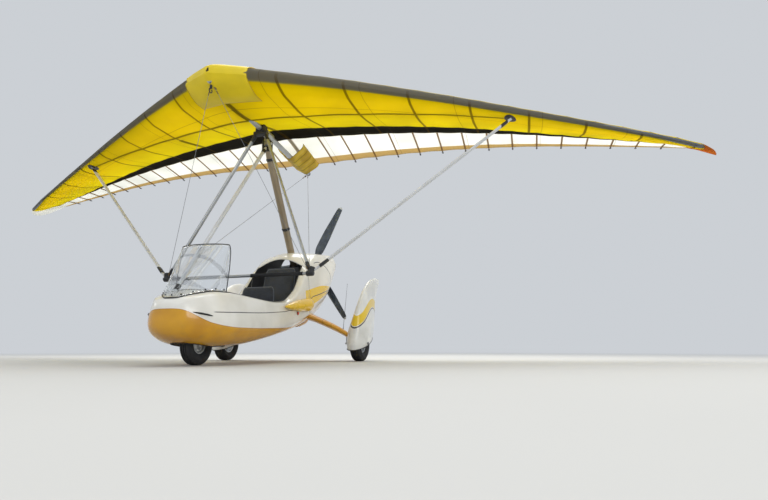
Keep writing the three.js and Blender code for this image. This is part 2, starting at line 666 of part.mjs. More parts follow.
// Radiator scoop under the belly
const SCOOP = [
  { fore: -490, half: 128, low: 436, high: 470 },
  { fore: -650, half: 150, low: 392, high: 520 },
  { fore: -840, half: 165, low: 428, high: 560 },
  { fore: -1000, half: 150, low: 508, high: 620 },
];
const SCOOP_CHAMFER = 14;
function scoopRing(row, inset) {
  const half = row.half - inset;
  const low = row.low + inset;
  const corners = [[half, row.high], [-half, row.high], [-half, low + SCOOP_CHAMFER], [-half + SCOOP_CHAMFER, low]];
  corners.push([half - SCOOP_CHAMFER, low], [half, low + SCOOP_CHAMFER]);
  return corners.map(([left, up]) => at(left, row.fore, up));
}
const scoopMouth = plate([[-440, 384], [-652, 384], [-652, 402], [-485, 500], [-440, 500]], -120, 120);
place(trike, 'radiator_scoop', geometryOf(cut(
  loft(SCOOP.map((row) => scoopRing(row, 0))),
  loft(SCOOP.slice(0, 3).map((row) => scoopRing(row, 12))),
  hullGrown,
  scoopMouth,
)), 'yellow');

// Side outlets: cones that open backwards
const outletRings = (inset) => [
  { fore: 175, up: 560, radius: 14 }, { fore: 20, up: 578, radius: 42 }, { fore: -170, up: 600, radius: 64 },
  { fore: -350, up: 622, radius: 74 },
].map(({ fore, up, radius }) => Array.from({ length: 16 }, (_, i) => {
  const angle = (2 * Math.PI * i) / 16;
  const r = Math.max(3, radius - inset);
  return at(402 + r * Math.cos(angle), fore, up + r * Math.sin(angle));
}));
const outlet = cut(loft(outletRings(0)), loft(outletRings(8)).translate([0, 2, 0]));

// Legs, spats and main wheels
const wheelUp = MAIN_TYRE.radius;
const LEG = [
  { left: 200, lead: [-330, 575], trail: [-735, 545], thick: 76 },
  { left: 400, lead: [-416, 500], trail: [-800, 440], thick: 76 },
  { left: 720, lead: [-640, 330], trail: [-955, 255], thick: 68 },
  { left: 774, lead: [-674, 276], trail: [-968, 212], thick: 65 },
];
const LENS_STEPS = 9;
function lens(lead, trail, half, across) {
  const turns = Array.from({ length: LENS_STEPS + 1 }, (_, i) => (Math.PI * i) / LENS_STEPS);
  const shares = turns.map((turn) => (1 - Math.cos(turn)) / 2);
  const point = (share, sign) => lead.clone().lerp(trail, share)
    .addScaledVector(across, sign * half * (archShape(share) + 0.04 * share));
  const upperSide = shares.map((share) => point(share, 1));
  const lowerSide = shares.slice(1).reverse().map((share) => point(share, -1));
  return [...upperSide, ...lowerSide];
}
const legRing = ({ left, lead, trail, thick }) => lens(
  at(left, ...lead), at(left, ...trail), thick / 2, new THREE.Vector3(0, 0, 1),
);

const SPAT = [
  { lead: [250, -80], trail: [-456, 90], half: 104 },
  { lead: [258, 0], trail: [-462, 150], half: 118 },
  { lead: [246, 120], trail: [-464, 230], half: 118 },
  { lead: [226, 230], trail: [-462, 320], half: 98 },
  { lead: [198, 370], trail: [-455, 385], half: 68 },
  { lead: [145, 500], trail: [-416, 500], half: 44 },
  { lead: [55, 620], trail: [-440, 600], half: 33 },
  { lead: [-90, 725], trail: [-472, 690], half: 24 },
  { lead: [-280, 786], trail: [-505, 792], half: 12 },
];
const SPAT_LEAN = 0.1;
const SPAT_WALL = 10;
function spatRing({ lead, trail, half }, inset = 0) {
  const place3 = ([fore, up]) => at(HALF_TRACK + SPAT_LEAN * up, MAIN_FORE + fore, wheelUp + up);
  const [front, rear] = [place3([lead[0] - inset, lead[1]]), place3([trail[0] + inset * 2, trail[1]])];
  return lens(front, rear, half - inset, new THREE.Vector3(1, 0, 0));
}
const spatOuter = loft(SPAT.map((row) => spatRing(row)));
const spatGrown = loft(SPAT.map((row) => spatRing(row, -GAP)));
const spatRoom = loft([
  spatRing({ ...SPAT[0], lead: [250, -200], trail: [-456, -60] }, SPAT_WALL),
  ...SPAT.slice(0, 4).map((row) => spatRing(row, SPAT_WALL)),
]);
const axleRun = (grow) => bar(
  ...ends(at(700, MAIN_FORE, wheelUp), at(HALF_TRACK + 74, MAIN_FORE, wheelUp), grow), AXLE_RADIUS + grow, 20,
);
const spat = cut(spatOuter, spatRoom, axleRun(GAP));
const axleArm = bar(at(722, MAIN_FORE, wheelUp + 90), at(726, MAIN_FORE, wheelUp - 6), 17, 12);
const legAndAxle = joined(cut(loft(LEG.map(legRing)), spatGrown), axleArm, axleRun(0));

const WHEEL_STEPS = 28;
const GROOVE_DEPTH = 6;
function tyreProfile({ radius, half, rim }) {
  const middle = (rim + radius) / 2;
  const wall = [[rim, 0.6], [rim + 12, 0.7], [middle, 1], [radius - 24, 0.96], [radius - 8, 0.74], [radius, 0.5]];
  const groove = [[radius, 0.26], [radius - GROOVE_DEPTH, 0.22], [radius - GROOVE_DEPTH, 0.14], [radius, 0.1]];
  const nearSide = [...wall, ...groove].map(([r, share]) => [r, half * share]);
  const farSide = [...nearSide].reverse().map(([r, across]) => [r, -across]);
  return [...nearSide, ...farSide, nearSide[0]];
}
function rimProfile({ half, rim }, bore) {
  const edge = rim - GAP;
  return [
    [bore, half * 0.8], [34, half * 0.8], [38, half * 0.3], [edge - 14, half * 0.3], [edge, half * 0.56],
    [edge, -half * 0.56], [edge - 14, -half * 0.3], [38, -half * 0.3], [34, -half * 0.8],
    [bore, -half * 0.8], [bore, half * 0.8],
  ];
}

for (const { side, word } of sides) {
  const wheelMiddle = at(side * HALF_TRACK, MAIN_FORE, wheelUp);
  place(trike, `side_outlet_${word}`, geometryOf(cut(onSide(outlet, side), hullGrown)), 'yellow');
  place(trike, `leg_${word}`, geometryOf(cut(onSide(legAndAxle, side), hullGrown)), 'yellow');
  place(trike, `spat_${word}`, forSide(spat, side), 'cream');
  const tyre = turned(tyreProfile(MAIN_TYRE), wheelMiddle, WHEEL_STEPS);
  const rim = turned(rimProfile(MAIN_TYRE, AXLE_RADIUS + GAP), wheelMiddle, WHEEL_STEPS);
  place(trike, `main_tyre_${word}`, geometryOf(tyre), 'rubber');
  place(trike, `main_rim_${word}`, geometryOf(rim), 'alloy');
}

// Nose wheel, its fork with the foot bar, and the steering head
const crown = onStem(225);
const forkLeg = (side) => bar(
  noseMiddle.clone().add(at(side * 74, 0, -14)), crown.clone().add(at(side * 74, 0, 10)), 9, 12, chordWise, 16,
);
const fork = joined(
  forkLeg(1),
  forkLeg(-1),
  box(crown, 166, 44, 24, -RAKE),
  bar(onStem(220), onStem(385), STEM_RADIUS, 16),
  bar(noseMiddle.clone().add(at(-84, 0, 0)), noseMiddle.clone().add(at(84, 0, 0)), 9, 16),
  bar(crown.clone().add(at(-240, -30, 0)), crown.clone().add(at(240, -30, 0)), 12, 14),
);
place(trike, 'nose_fork', geometryOf(fork), 'steel');
place(trike, 'nose_tyre', geometryOf(turned(tyreProfile(NOSE_TYRE), noseMiddle, WHEEL_STEPS)), 'rubber');
place(trike, 'nose_rim', geometryOf(turned(rimProfile(NOSE_TYRE, 9 + GAP), noseMiddle, WHEEL_STEPS)), 'alloy');

const stemBore = bar(onStem(200), onStem(400), STEM_RADIUS + 2 * GAP, 16);
const steeringHead = cut(bar(onStem(262), onStem(350), 30, 20), stemBore);
place(trike, 'trike_keel', geometryOf(cut(
  joined(cut(keelPipe(), stemBore), steeringHead),
  cut(hullGrown, inside),
)), 'alloy');

// Propeller
const hubProfile = [
  [16 + GAP, 30], [60, 30], [70, 12], [70, -30], [58, -60], [30, -85], [0, -96], [0, -10],
  [16 + GAP, -10], [16 + GAP, 30],
];
const propMiddle = at(0, PROP_FORE, PROP_UP);
function spunAlongY(profile, middle, steps) {
  const geometry = new THREE.LatheGeometry(profile.map(([r, fore]) => new THREE.Vector2(r, -fore)), steps);
  geometry.translate(middle.x, middle.y, middle.z);
  const made = solid(geometry);
  return made.volume() < 0 ? solid(flipped(mergeVertices(stripped(geometry), 1e-3))) : made;
}
const BLADE = [
  // distance from the middle, chord, thickness, twist in degrees
  { out: 40, chord: 46, thick: 34, twist: 60 },
  { out: 110, chord: 62, thick: 30, twist: 52 },
  { out: 240, chord: 118, thick: 19, twist: 38 },
  { out: 430, chord: 112, thick: 13, twist: 26 },
  { out: 650, chord: 90, thick: 9, twist: 19 },
  { out: 820, chord: 68, thick: 6, twist: 15 },
  { out: PROP_RADIUS, chord: 34, thick: 4, twist: 14 },
];
function blade(turn) {
  const rings = BLADE.map(({ out, chord, thick, twist }) => {
    const angle = THREE.MathUtils.degToRad(twist);
    const flat = new THREE.Vector3(Math.cos(angle), Math.sin(angle), 0);
    const across = new THREE.Vector3(-Math.sin(angle), Math.cos(angle), 0);
    const middle = new THREE.Vector3(0, 0, out);
    return lens(
      middle.clone().addScaledVector(flat, chord * 0.4),
      middle.clone().addScaledVector(flat, -chord * 0.6),
      thick / 2,
      across,
    ).map((point) => point.applyAxisAngle(new THREE.Vector3(0, 1, 0), turn).add(propMiddle));
  });
  return loft(rings);
}
const bladeTurn = (i) => PARKED_TURN + (2 * Math.PI * i) / PROP_BLADES;
const blades = Array.from({ length: PROP_BLADES }, (_, i) => blade(bladeTurn(i)));
const hub = spunAlongY(hubProfile, propMiddle, 24);
place(trike, 'propeller', geometryOf(joined(hub, ...blades)), 'blade');

// Side lamp on the left of the cowl
const LAMP = { fore: -120, up: 510, radius: 16, reach: 404 };
place(trike, 'side_lamp', geometryOf(cut(
  bar(at(370, LAMP.fore, LAMP.up), at(LAMP.reach, LAMP.fore, LAMP.up), LAMP.radius, 20),
  joined(hullGrown, inside),
)), 'lamp');

// Whip aerial on the left leg
place(trike, 'whip_aerial', geometryOf(cut(
  bar(at(690, -700, 330), at(690, -830, 900), 3, 6),
  loft(LEG.map((row) => legRing({ ...row, thick: row.thick + 4 * GAP }))),
)), 'black');

export default root;
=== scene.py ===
# A two-seat weight-shift ultralight: a faired tricycle pod hung under a strutted flexible wing.
# Metres. +X is the aircraft's left, -Y is forward, +Z is up, and the wheels stand on z = 0.
import json
import math

import bmesh
import bpy
from mathutils import Matrix, Vector


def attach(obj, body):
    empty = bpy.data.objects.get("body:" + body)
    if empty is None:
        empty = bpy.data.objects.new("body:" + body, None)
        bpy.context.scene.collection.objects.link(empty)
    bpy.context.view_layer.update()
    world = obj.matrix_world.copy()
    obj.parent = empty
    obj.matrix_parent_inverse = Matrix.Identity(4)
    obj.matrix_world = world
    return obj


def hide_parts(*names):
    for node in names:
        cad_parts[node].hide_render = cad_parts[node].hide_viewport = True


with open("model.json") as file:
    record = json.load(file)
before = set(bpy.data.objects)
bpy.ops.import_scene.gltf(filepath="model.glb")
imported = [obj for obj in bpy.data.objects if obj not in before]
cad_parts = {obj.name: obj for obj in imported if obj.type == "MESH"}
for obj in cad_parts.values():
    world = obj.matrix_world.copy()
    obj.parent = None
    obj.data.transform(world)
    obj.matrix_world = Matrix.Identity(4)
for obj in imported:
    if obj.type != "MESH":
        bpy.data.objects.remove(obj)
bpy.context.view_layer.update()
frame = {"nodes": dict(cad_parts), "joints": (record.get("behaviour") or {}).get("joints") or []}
hang = next(Vector(joint["pos_m"]) for joint in frame["joints"] if joint["name"] == "wing_pitch")
sides = (("left", 1), ("right", -1))

# The camera stands on the floor ahead of the nose, on the aircraft's left, and looks up at the
# wing's under side, because the photograph was taken from below on that side.
VIEW_AZIMUTH = math.radians(29)
VIEW_TURN = math.radians(-13.2)
VIEW_RISE = math.radians(11.0)
VIEW_DISTANCE = 5.7
VIEW_HEIGHT = 0.14
VIEW_LENS = 23.8


def put(name, data):
    """A new object in the scene."""
    made = bpy.data.objects.new(name, data)
    bpy.context.scene.collection.objects.link(made)
    return made


camera = put("camera", bpy.data.cameras.new("camera"))
camera.data.lens = VIEW_LENS
camera.location = VIEW_DISTANCE * Vector((math.sin(VIEW_AZIMUTH), -math.cos(VIEW_AZIMUTH), 0))
camera.location.z = VIEW_HEIGHT
camera.rotation_euler = (math.pi / 2 + VIEW_RISE, 0, VIEW_AZIMUTH + VIEW_TURN)
bpy.context.scene.camera = camera
bpy.context.scene.view_settings.view_transform = "Standard"

# Soft studio light: one large softbox overhead and behind, whose light comes through the cloth,
# a wide fill ahead on the camera's side, a weaker one on the other side, and a pale room.
SOFTBOXES = (
    # name, place, aimed at, width, height, power
    ("overhead", (1.0, 2.5, 9.0), (0.0, 0.3, 1.5), 11.0, 8.0, 1000.0),
    ("fill", (7.5, -8.5, 3.6), (0.0, -0.5, 1.4), 6.0, 4.0, 240.0),
    ("side", (-9.0, -3.0, 4.5), (0.0, 0.0, 1.4), 4.0, 4.0, 110.0),
)
for name, place, aim, width, height, power in SOFTBOXES:
    lamp = bpy.data.lights.new(name, "AREA")
    lamp.shape = "RECTANGLE"
    lamp.size, lamp.size_y, lamp.energy = width, height, power
    softbox = put(name, lamp)
    softbox.location = place
    softbox.rotation_euler = (Vector(aim) - Vector(place)).to_track_quat("-Z", "Y").to_euler()

ROOM_COLOUR, ROOM_STRENGTH = (0.86, 0.90, 0.95, 1), 0.70
room = bpy.data.worlds.new("room")
room.use_nodes = True
room.node_tree.nodes["Background"].inputs["Color"].default_value = ROOM_COLOUR
room.node_tree.nodes["Background"].inputs["Strength"].default_value = ROOM_STRENGTH
bpy.context.scene.world = room

# Floor: a plain pale sheet under the wheels, which runs far past the view and fades into the
# room's wall, so that no edge of it shows.
FLOOR_HALF = 60.0
FLOOR_DROP = 0.0005
FADE_FROM, FADE_TO = 5.0, 16.0


def paint(code):
    """A colour for a shader from its usual six-figure code."""
    values = [int(code[i:i + 2], 16) / 255 for i in (0, 2, 4)]
    return tuple(v / 12.92 if v <= 0.04045 else ((v + 0.055) / 1.055) ** 2.4 for v in values) + (1.0,)


class Finish:
    """A material in the making: each call adds nodes and links what it is given."""

    def __init__(self, name):
        self.material = bpy.data.materials.new(name)
        self.material.use_nodes = True
        self.tree = self.material.node_tree
        self.tree.nodes.clear()

    def add(self, kind, inputs, **settings):
        """A node whose inputs take a socket, a value or a colour's code."""
        made = self.tree.nodes.new("ShaderNode" + kind)
        for key, value in settings.items():
            setattr(made, key, value)
        for key, value in inputs.items():
            if isinstance(value, bpy.types.NodeSocket):
                self.tree.links.new(value, made.inputs[key])
            else:
                made.inputs[key].default_value = paint(value) if isinstance(value, str) else value
        return made

    def calc(self, operation, first, *others):
        """One Math node, or one for each value after the second, which takes what came before."""
        result = self.add("Math", dict(enumerate((first, *others[:1]))), operation=operation).outputs[0]
        for other in others[1:]:
            result = self.add("Math", {0: result, 1: other}, operation=operation).outputs[0]
        return result

    def plus(self, *values):
        return self.calc("ADD", *values)

    def minus(self, value, taken):
        return self.calc("SUBTRACT", value, taken)

    def times(self, *values):
        return self.calc("MULTIPLY", *values)

    def most(self, *values):
        return self.calc("MAXIMUM", *values)

    def mix(self, share, below, above):
        return self.add("Mix", {0: share, 6: below, 7: above}, data_type="RGBA").outputs[2]

    def ramp(self, value, low, high, start, end):
        """Runs evenly from start at low to end at high."""
        return self.add("MapRange", {0: value, 1: low, 2: high, 3: start, 4: end}).outputs[0]

    def step(self, value, low, high):
        """Runs smoothly from 0 at low to 1 at high."""
        given = {0: value, 1: low, 2: high}
        return self.add("MapRange", given, interpolation_type="SMOOTHSTEP").outputs[0]

    def line(self, value, centre, half):
        """1 on the line where value is centre, and 0 from half away."""
        away = self.calc("ABSOLUTE", self.minus(value, centre))
        return self.step(away, half, half * 0.6)

    def point(self, kind="Object"):
        """The three coordinates of a point of the surface."""
        source = self.add("TexCoord", {}).outputs[kind]
        return self.add("SeparateXYZ", {0: source}).outputs

    def noise(self, scale, detail=3.0, stretch=(1, 1, 1)):
        where = self.add("Mapping", {0: self.add("TexCoord", {}).outputs["Object"], 3: stretch})
        given = {"Vector": where.outputs[0], "Scale": scale, "Detail": detail}
        return self.add("TexNoise", given).outputs[0]

    def patches(self, scale):
        """Wide soft patches, 0 in some places and 1 in others."""
        return self.step(self.noise(scale), 0.3, 0.7)

    def bump(self, height, distance):
        return self.add("Bump", {"Height": height, "Distance": distance, "Strength": 1.0}).outputs[0]

    def shader(self, colour, roughness, **others):
        given = {"Base Color": colour, "Roughness": roughness}
        given.update({key.replace("_", " "): value for key, value in others.items()})
        return self.add("BsdfPrincipled", given).outputs[0]

    def blend(self, share, below, above):
        """The material made of two shaders."""
        return self.done(self.add("MixShader", {0: share, 1: below, 2: above}).outputs[0])

    def done(self, surface):
        self.add("OutputMaterial", {"Surface": surface})
        return self.material


def as_mesh(bm, name):
    mesh = bpy.data.meshes.new(name)
    bm.to_mesh(mesh)
    bm.free()
    return mesh


floor_look = Finish("pale_floor")
spot = floor_look.add("TexCoord", {}).outputs["Object"]
reach = floor_look.add("VectorMath", {0: spot}, operation="LENGTH").outputs["Value"]
pale = floor_look.mix(floor_look.noise(0.6), "c6c5c1", "cac9c5")
near = floor_look.shader(pale, 0.8, Specular_IOR_Level=0.0)
far = floor_look.add("Emission", {"Color": ROOM_COLOUR, "Strength": ROOM_STRENGTH}).outputs[0]
floor = bmesh.new()
bmesh.ops.create_grid(floor, x_segments=1, y_segments=1, size=FLOOR_HALF)
bmesh.ops.translate(floor, verts=floor.verts, vec=(0, 0, -FLOOR_DROP))
floor_piece = put("floor", as_mesh(floor, "floor"))
floor_piece.data.materials.append(
    floor_look.blend(floor_look.step(reach, FADE_FROM, FADE_TO), near, far))

# Sail: each half is one sheet of polyester cloth that starts at the rear edge of the under skin,
# wraps round the leading edge and runs back over the battens to the trailing edge. It is sewn from
# panels, yellow with a dark rear band below, and is held taut by the tubes and battens inside it.
WING_PITCH = math.radians(4)
SAIL = (
    # left, leading edge fore and up, trailing edge fore and up, arch, sag of the under skin
    (0.0, 1.190, 0.170, -1.130, 0.225, 0.085, 0.147),
    (0.33, 1.050, 0.178, -1.140, 0.240, 0.090, 0.118),
    (0.90, 0.775, 0.178, -1.170, 0.268, 0.095, 0.078),
    (1.50, 0.487, 0.160, -1.205, 0.285, 0.100, 0.055),
    (2.10, 0.197, 0.135, -1.255, 0.290, 0.100, 0.045),
    (2.73, -0.109, 0.095, -1.330, 0.285, 0.100, 0.040),
    (3.30, -0.384, 0.058, -1.415, 0.268, 0.095, 0.036),
    (3.90, -0.674, 0.012, -1.530, 0.250, 0.090, 0.032),
    (4.40, -0.916, -0.035, -1.615, 0.225, 0.085, 0.028),
    (4.70, -1.080, -0.070, -1.665, 0.205, 0.080, 0.024),
    (4.80, -1.165, -0.082, -1.660, 0.170, 0.075, 0.020),
    (4.87, -1.275, -0.072, -1.620, 0.120, 0.070, 0.016),
    (4.90, -1.390, -0.040, -1.560, 0.060, 0.060, 0.010),
)
SAIL_END, WING_END = 4.70, 4.90
CLOTH = 0.0016
UNDER = 0.73  # the share of the chord that has an under skin
TUCK, SETTLE = 0.010, 0.70  # the under skin's gap to the upper one at its end, and where it rises to it
BATTENS, FIRST_BATTEN, BATTEN_STEP, BATTEN_DIP = 15, 0.36, 0.29, 0.006
RIB_STEP, RIB_DIP = 0.575, 0.007
SCALLOP = 0.010
SLOT_HALF, SLOT_REAR, SLOT_FRONT, SLOT_UP = 0.10, -0.16, 0.20, 0.15
CROSS_START, CROSS_SLOPE, CROSS_BEND, CROSS_END = 0.34, 0.02, 0.0245, 2.70
MAP_SPAN = 5.0  # the half span that fills the sail's UV map
WEAVE = 420.0
wing_turn = Matrix.Rotation(-WING_PITCH, 3, "X")


def on_wing(left, fore, up):
    """A place given in the wing's own frame, whose keel is pitched, as a place of the aircraft."""
    return hang + wing_turn @ Vector((left, -fore, up))


def on_side(point, side):
    return Vector((side * point.x, point.y, point.z))


def steps(count):
    """Even shares from 0 to 1."""
    return [i / count for i in range(count + 1)]


def smooth(t):
    t = min(max(t, 0.0), 1.0)
    return t * t * (3 - 2 * t)


def between(rows, where):
    """The row at a value of the first column, on a smooth curve through a table's rows."""
    where = min(max(where, rows[0][0]), rows[-1][0])
    last = next(i for i in range(1, len(rows)) if where <= rows[i][0])
    near = [rows[max(last - 2, 0)], rows[last - 1], rows[last], rows[min(last + 1, len(rows) - 1)]]
    gap = near[2][0] - near[1][0]
    t = (where - near[1][0]) / gap

    def slope(k, column):
        """The slope at a row, which is level at a peak, so that the curve never overshoots."""
        rise_in, rise_out = [(b[column] - a[column]) / max(b[0] - a[0], 1e-9)
                             for a, b in ((near[k - 1], near[k]), (near[k], near[k + 1]))]
        return 2 * rise_in * rise_out / (rise_in + rise_out) if rise_in * rise_out > 0 else 0.0

    found = [where]
    for column in range(1, len(near[1])):
        a, b = near[1][column], near[2][column]
        p = slope(1, column) * gap if last > 1 else b - a
        q = slope(2, column) * gap if last < len(rows) - 1 else b - a
        found.append(a + smooth(t) * (b - a) + p * t * (1 - t) ** 2 - q * t * t * (1 - t))
    return found


def arch_shape(s):
    """Height of a wing section over its chord, as a share of its peak."""
    return (0.2969 * math.sqrt(s) - 0.126 * s - 0.3516 * s**2 + 0.2843 * s**3 - 0.1036 * s**4) / 0.1


def sail_point(left, share, swell=0.0):
    """A place on the left half: share is below 0 on the under skin, 0 at the nose and 1 at the tail."""
    _, lead_fore, lead_up, trail_fore, trail_up, arch, sag = between(SAIL, left)
    bay = abs(math.sin(math.pi * (left - FIRST_BATTEN) / BATTEN_STEP)) if left < SAIL_END else 0.0
    rib = abs(math.sin(math.pi * left / RIB_STEP))
    chord_line = Vector((0, lead_fore - trail_fore, trail_up - lead_up))
    upward = Vector((1, 0, 0)).cross(chord_line).normalized()

    def upper(s):
        fullness = min(1.0, 12 * s * (1 - s))
        return chord_line.length * arch * arch_shape(s) - BATTEN_DIP * bay * fullness

    if share >= 0:
        run = share * (1 - SCALLOP * bay * share**10)
        height = upper(share) + swell
    else:
        run = -share
        q = run / UNDER
        drop = sag * min(1.0, math.sqrt(q / 0.12)) - RIB_DIP * rib * math.sin(math.pi * q)
        height = -drop + smooth(1 - (1 - q) / SETTLE) * (upper(UNDER) - TUCK + drop) - swell
    flat = Vector((left, -lead_fore, lead_up)) + run * chord_line + height * upward
    return on_wing(flat.x, -flat.y, flat.z)


def wrap_share(v):
    """Share of the chord along the wrapped sheet, with its steps closest together at the nose."""
    t = v * (1 + UNDER) - UNDER
    reach = UNDER if t < 0 else 1.0
    return math.copysign(reach * (abs(t) / reach) ** 1.5, t)


def patch(steps_u, steps_v, place, chart=lambda u, v: (u, v)):
    """A grid of faces whose points go where place(u, v) says, with chart(u, v) as its UV map."""
    bm = bmesh.new()
    bmesh.ops.create_grid(bm, x_segments=steps_u, y_segments=steps_v, size=0.5)
    uv_map = bm.loops.layers.uv.new("UVMap")
    where = {vert: (vert.co.x + 0.5, vert.co.y + 0.5) for vert in bm.verts}
    for face in bm.faces:
        for loop in face.loops:
            loop[uv_map].uv = chart(*where[loop.vert])
    for vert, (u, v) in where.items():
        vert.co = place(u, v)
    return bm


def keep(bm, name, body, slot, *looks, stands_for=(), sharp=40.0, wall=0.0, round_off=0.0):
    """Turns a finished bmesh into a piece that rides on its body and takes its finish."""
    bmesh.ops.recalc_face_normals(bm, faces=bm.faces)
    mesh = as_mesh(bm, name)
    for look in looks:
        mesh.materials.append(look)
    mesh.shade_smooth()
    mesh.set_sharp_from_angle(angle=math.radians(sharp))
    made = put(name, mesh)
    if wall:
        thick = made.modifiers.new("wall", "SOLIDIFY")
        thick.thickness, thick.offset, thick.use_even_offset = wall, -1, True
        thick.material_offset = len(looks) - 1
    if round_off:
        edges = made.modifiers.new("edges", "BEVEL")
        edges.width, edges.segments, edges.angle_limit = round_off, 2, math.radians(35)
    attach(made, body)
    if stands_for:
        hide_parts(*stands_for)
    return made


def translucent(look, colour, normal, share, **others):
    """Cloth that is lit from the front, and for a share of it from behind."""
    lit = look.shader(colour, 0.6, Normal=normal, **others)
    through = look.add("BsdfTranslucent", {"Color": colour, "Normal": normal}).outputs[0]
    return look.blend(share, lit, through)


def woven(look, colour):
    """Sailcloth of a colour, with its weave and soft creases, and light shining through it."""
    weave = look.plus(look.noise(WEAVE, 1.0, (1, 0.15, 1)), look.noise(WEAVE, 1.0, (0.15, 1, 1)))
    creases = look.times(look.noise(2.6, 2.0, (2.5, 0.7, 1)), 14.0)
    normal = look.bump(look.plus(look.times(weave, 0.08), creases), 0.0007)
    return translucent(look, colour, normal, 0.78, Specular_IOR_Level=0.2)


def sail_cloth():
    """The sail's panels, from the span and the share of chord that its UV map holds."""
    look = Finish("sail_cloth")
    u, v, _ = look.point("UV")
    span = look.times(u, MAP_SPAN)
    share = look.minus(look.times(v, 2.0), 1.0)
    tone = look.patches(2.2)
    yellow = look.mix(tone, "f6ea00", "fff306")
    # under skin: yellow, then a dark band that narrows outboard
    front = look.ramp(span, 2.2, 4.5, 0.575, 0.74)
    dark_band = look.step(look.calc("ABSOLUTE", share), front, look.plus(front, 0.006))
    below = look.mix(dark_band, yellow, "35301d")
    # upper skin: yellow nose panel, white behind it, and a tan strip along the trailing edge
    above = look.mix(look.step(share, 0.300, 0.304), yellow, look.mix(tone, "e8e8e2", "f6f5f0"))
    above = look.mix(look.step(share, 0.935, 0.938), above, "cdb98c")
    colour = look.mix(look.step(share, -0.001, 0.001), below, above)
    # a grey band round the leading edge: grey cloth, darkened further as painted shade on its lower face
    colour = look.mix(look.line(share, 0.008, 0.034), colour, "aaa698")
    # shadows of the ribs, the cross tube and the keel
    under = look.step(share, 0.02, -0.02)
    ribs = look.times(look.line(look.calc("PINGPONG", span, RIB_STEP / 2), 0.0, 0.016), under)
    cross = look.times(span, look.plus(look.times(span, CROSS_BEND), CROSS_SLOPE))
    cross = look.line(share, look.minus(cross, CROSS_START), 0.013)
    cross = look.times(cross, look.step(span, CROSS_END + 0.04, CROSS_END))
    shadow = look.most(ribs, cross, look.line(span, 0.0, 0.034))
    # one rib of the right half has a wide dark mark over its rear part: a zip, and painted shadow along
    # it
    right_rib = look.times(look.line(span, 2 * RIB_STEP, 0.036), look.step(look.point()[0], 0.0, -0.01))
    zip_and_shadow = look.times(right_rib, look.times(look.step(share, -0.33, -0.335), under))
    shadow = look.most(shadow, look.times(zip_and_shadow, look.step(share, -0.60, -0.595)))
    colour = look.mix(look.times(shadow, 0.6), colour, "6e5600")
    # the battens' pockets are tan tapes sewn on the upper skin, and the panels have sewn seams
    bay = look.calc("PINGPONG", look.minus(span, FIRST_BATTEN), BATTEN_STEP / 2)
    pocket = look.times(look.line(bay, 0.0, 0.0135), look.step(share, 0.045, 0.05),
                        look.step(span, 0.30, 0.31))
    colour = look.mix(look.times(pocket, 0.75), colour, "93744a")
    seam = look.most(look.line(share, -0.21, 0.0028), look.line(share, 0.30, 0.003),
                     look.line(look.calc("PINGPONG", span, 0.86), 0.43, 0.004))
    return woven(look, look.mix(look.times(seam, 0.35), colour, "6e5414"))


sail_look = sail_cloth()
for word, side in sides:
    cloth = patch(146, 64, lambda u, v: on_side(sail_point(u * SAIL_END, wrap_share(v)), side),
                  lambda u, v: (u * SAIL_END / MAP_SPAN, (wrap_share(v) + 1) / 2))
    opening = []
    for face in cloth.faces:
        middle = wing_turn.transposed() @ (face.calc_center_median() - hang)
        inside = SLOT_REAR < -middle.y < SLOT_FRONT and abs(middle.x) < SLOT_HALF
        if inside and middle.z < SLOT_UP:
            opening.append(face)
    bmesh.ops.delete(cloth, geom=opening, context="FACES")
    sail = keep(cloth, "sail_cloth_" + word, "wing", "sail_cloth", sail_look,
                stands_for=["sail_" + word], wall=CLOTH)

# Wing tips: stiff fairings that close the ends of the sail, covered with its cloth. The left one is
# painted amber for the sunlight shining through it, and the right one white.
TIP_BELLY = 0.018
TIP_COLOURS = {"left": ("b9701c", "e09a3c"), "right": ("e8e8e2", "f6f5f0")}
for word, side in sides:
    def tip_place(u, v):
        left = SAIL_END + u * (WING_END - SAIL_END)
        share = 2 * v - 1
        middle = sail_point(left, 0.0).lerp(sail_point(left, 1.0), abs(share))
        skin = sail_point(left, share) if share >= 0 else \
            middle - Vector((0, 0, TIP_BELLY * math.sin(math.pi * -share)))
        return on_side(middle.lerp(skin, 1 - smooth((u - 0.8) / 0.2)), side)

    tip = patch(14, 40, tip_place)
    bmesh.ops.remove_doubles(tip, verts=tip.verts, dist=0.0004)
    bmesh.ops.holes_fill(tip, edges=[edge for edge in tip.edges if edge.is_boundary], sides=90)
    tip_look = Finish("tip_cloth_" + word)
    tip_look = woven(tip_look, tip_look.mix(tip_look.patches(2.2), *TIP_COLOURS[word]))
    keep(tip, "tip_fairing_" + word, "wing", "tip_cloth", tip_look,
         stands_for=["wing_tip_" + word], sharp=60)

# Battens: thin alloy rods in tan pockets under the upper skin. Each ends in a dark plastic cap
# behind the trailing edge, where a loop of cord holds the cloth tight.
BATTEN_RADIUS = 0.0055
BATTEN_RUN = (0.05, 0.12, 0.25, 0.4, 0.55, 0.7, 0.8, 0.9, 0.97, 1.0)
CAP_LENGTH, CAP_RADIUS = 0.045, 0.0065
LOOP_HALF, LOOP_RADIUS = 0.012, 0.0016


def loft(rings, bm=None, ends=(True, True)):
    """Circles whose points are moved onto each ring in turn and bridged, with a cap at each end."""
    bm = bm or bmesh.new()
    loops = []
    for ring in rings:
        circle = bmesh.ops.create_circle(bm, segments=len(ring), radius=1.0)["verts"]
        for vert, point in zip(circle, ring):
            vert.co = point
        loops.append(list({edge for vert in circle for edge in vert.link_edges}))
    for low, high in zip(loops, loops[1:]):
        bmesh.ops.bridge_loops(bm, edges=low + high)
    for wanted, loop in zip(ends, (loops[0], loops[-1])):
        if wanted:
            bmesh.ops.edgenet_fill(bm, edges=loop)
    return bm


def turns(count):
    """The angles of even places round a circle."""
    return [2 * math.pi * i / count for i in range(count)]


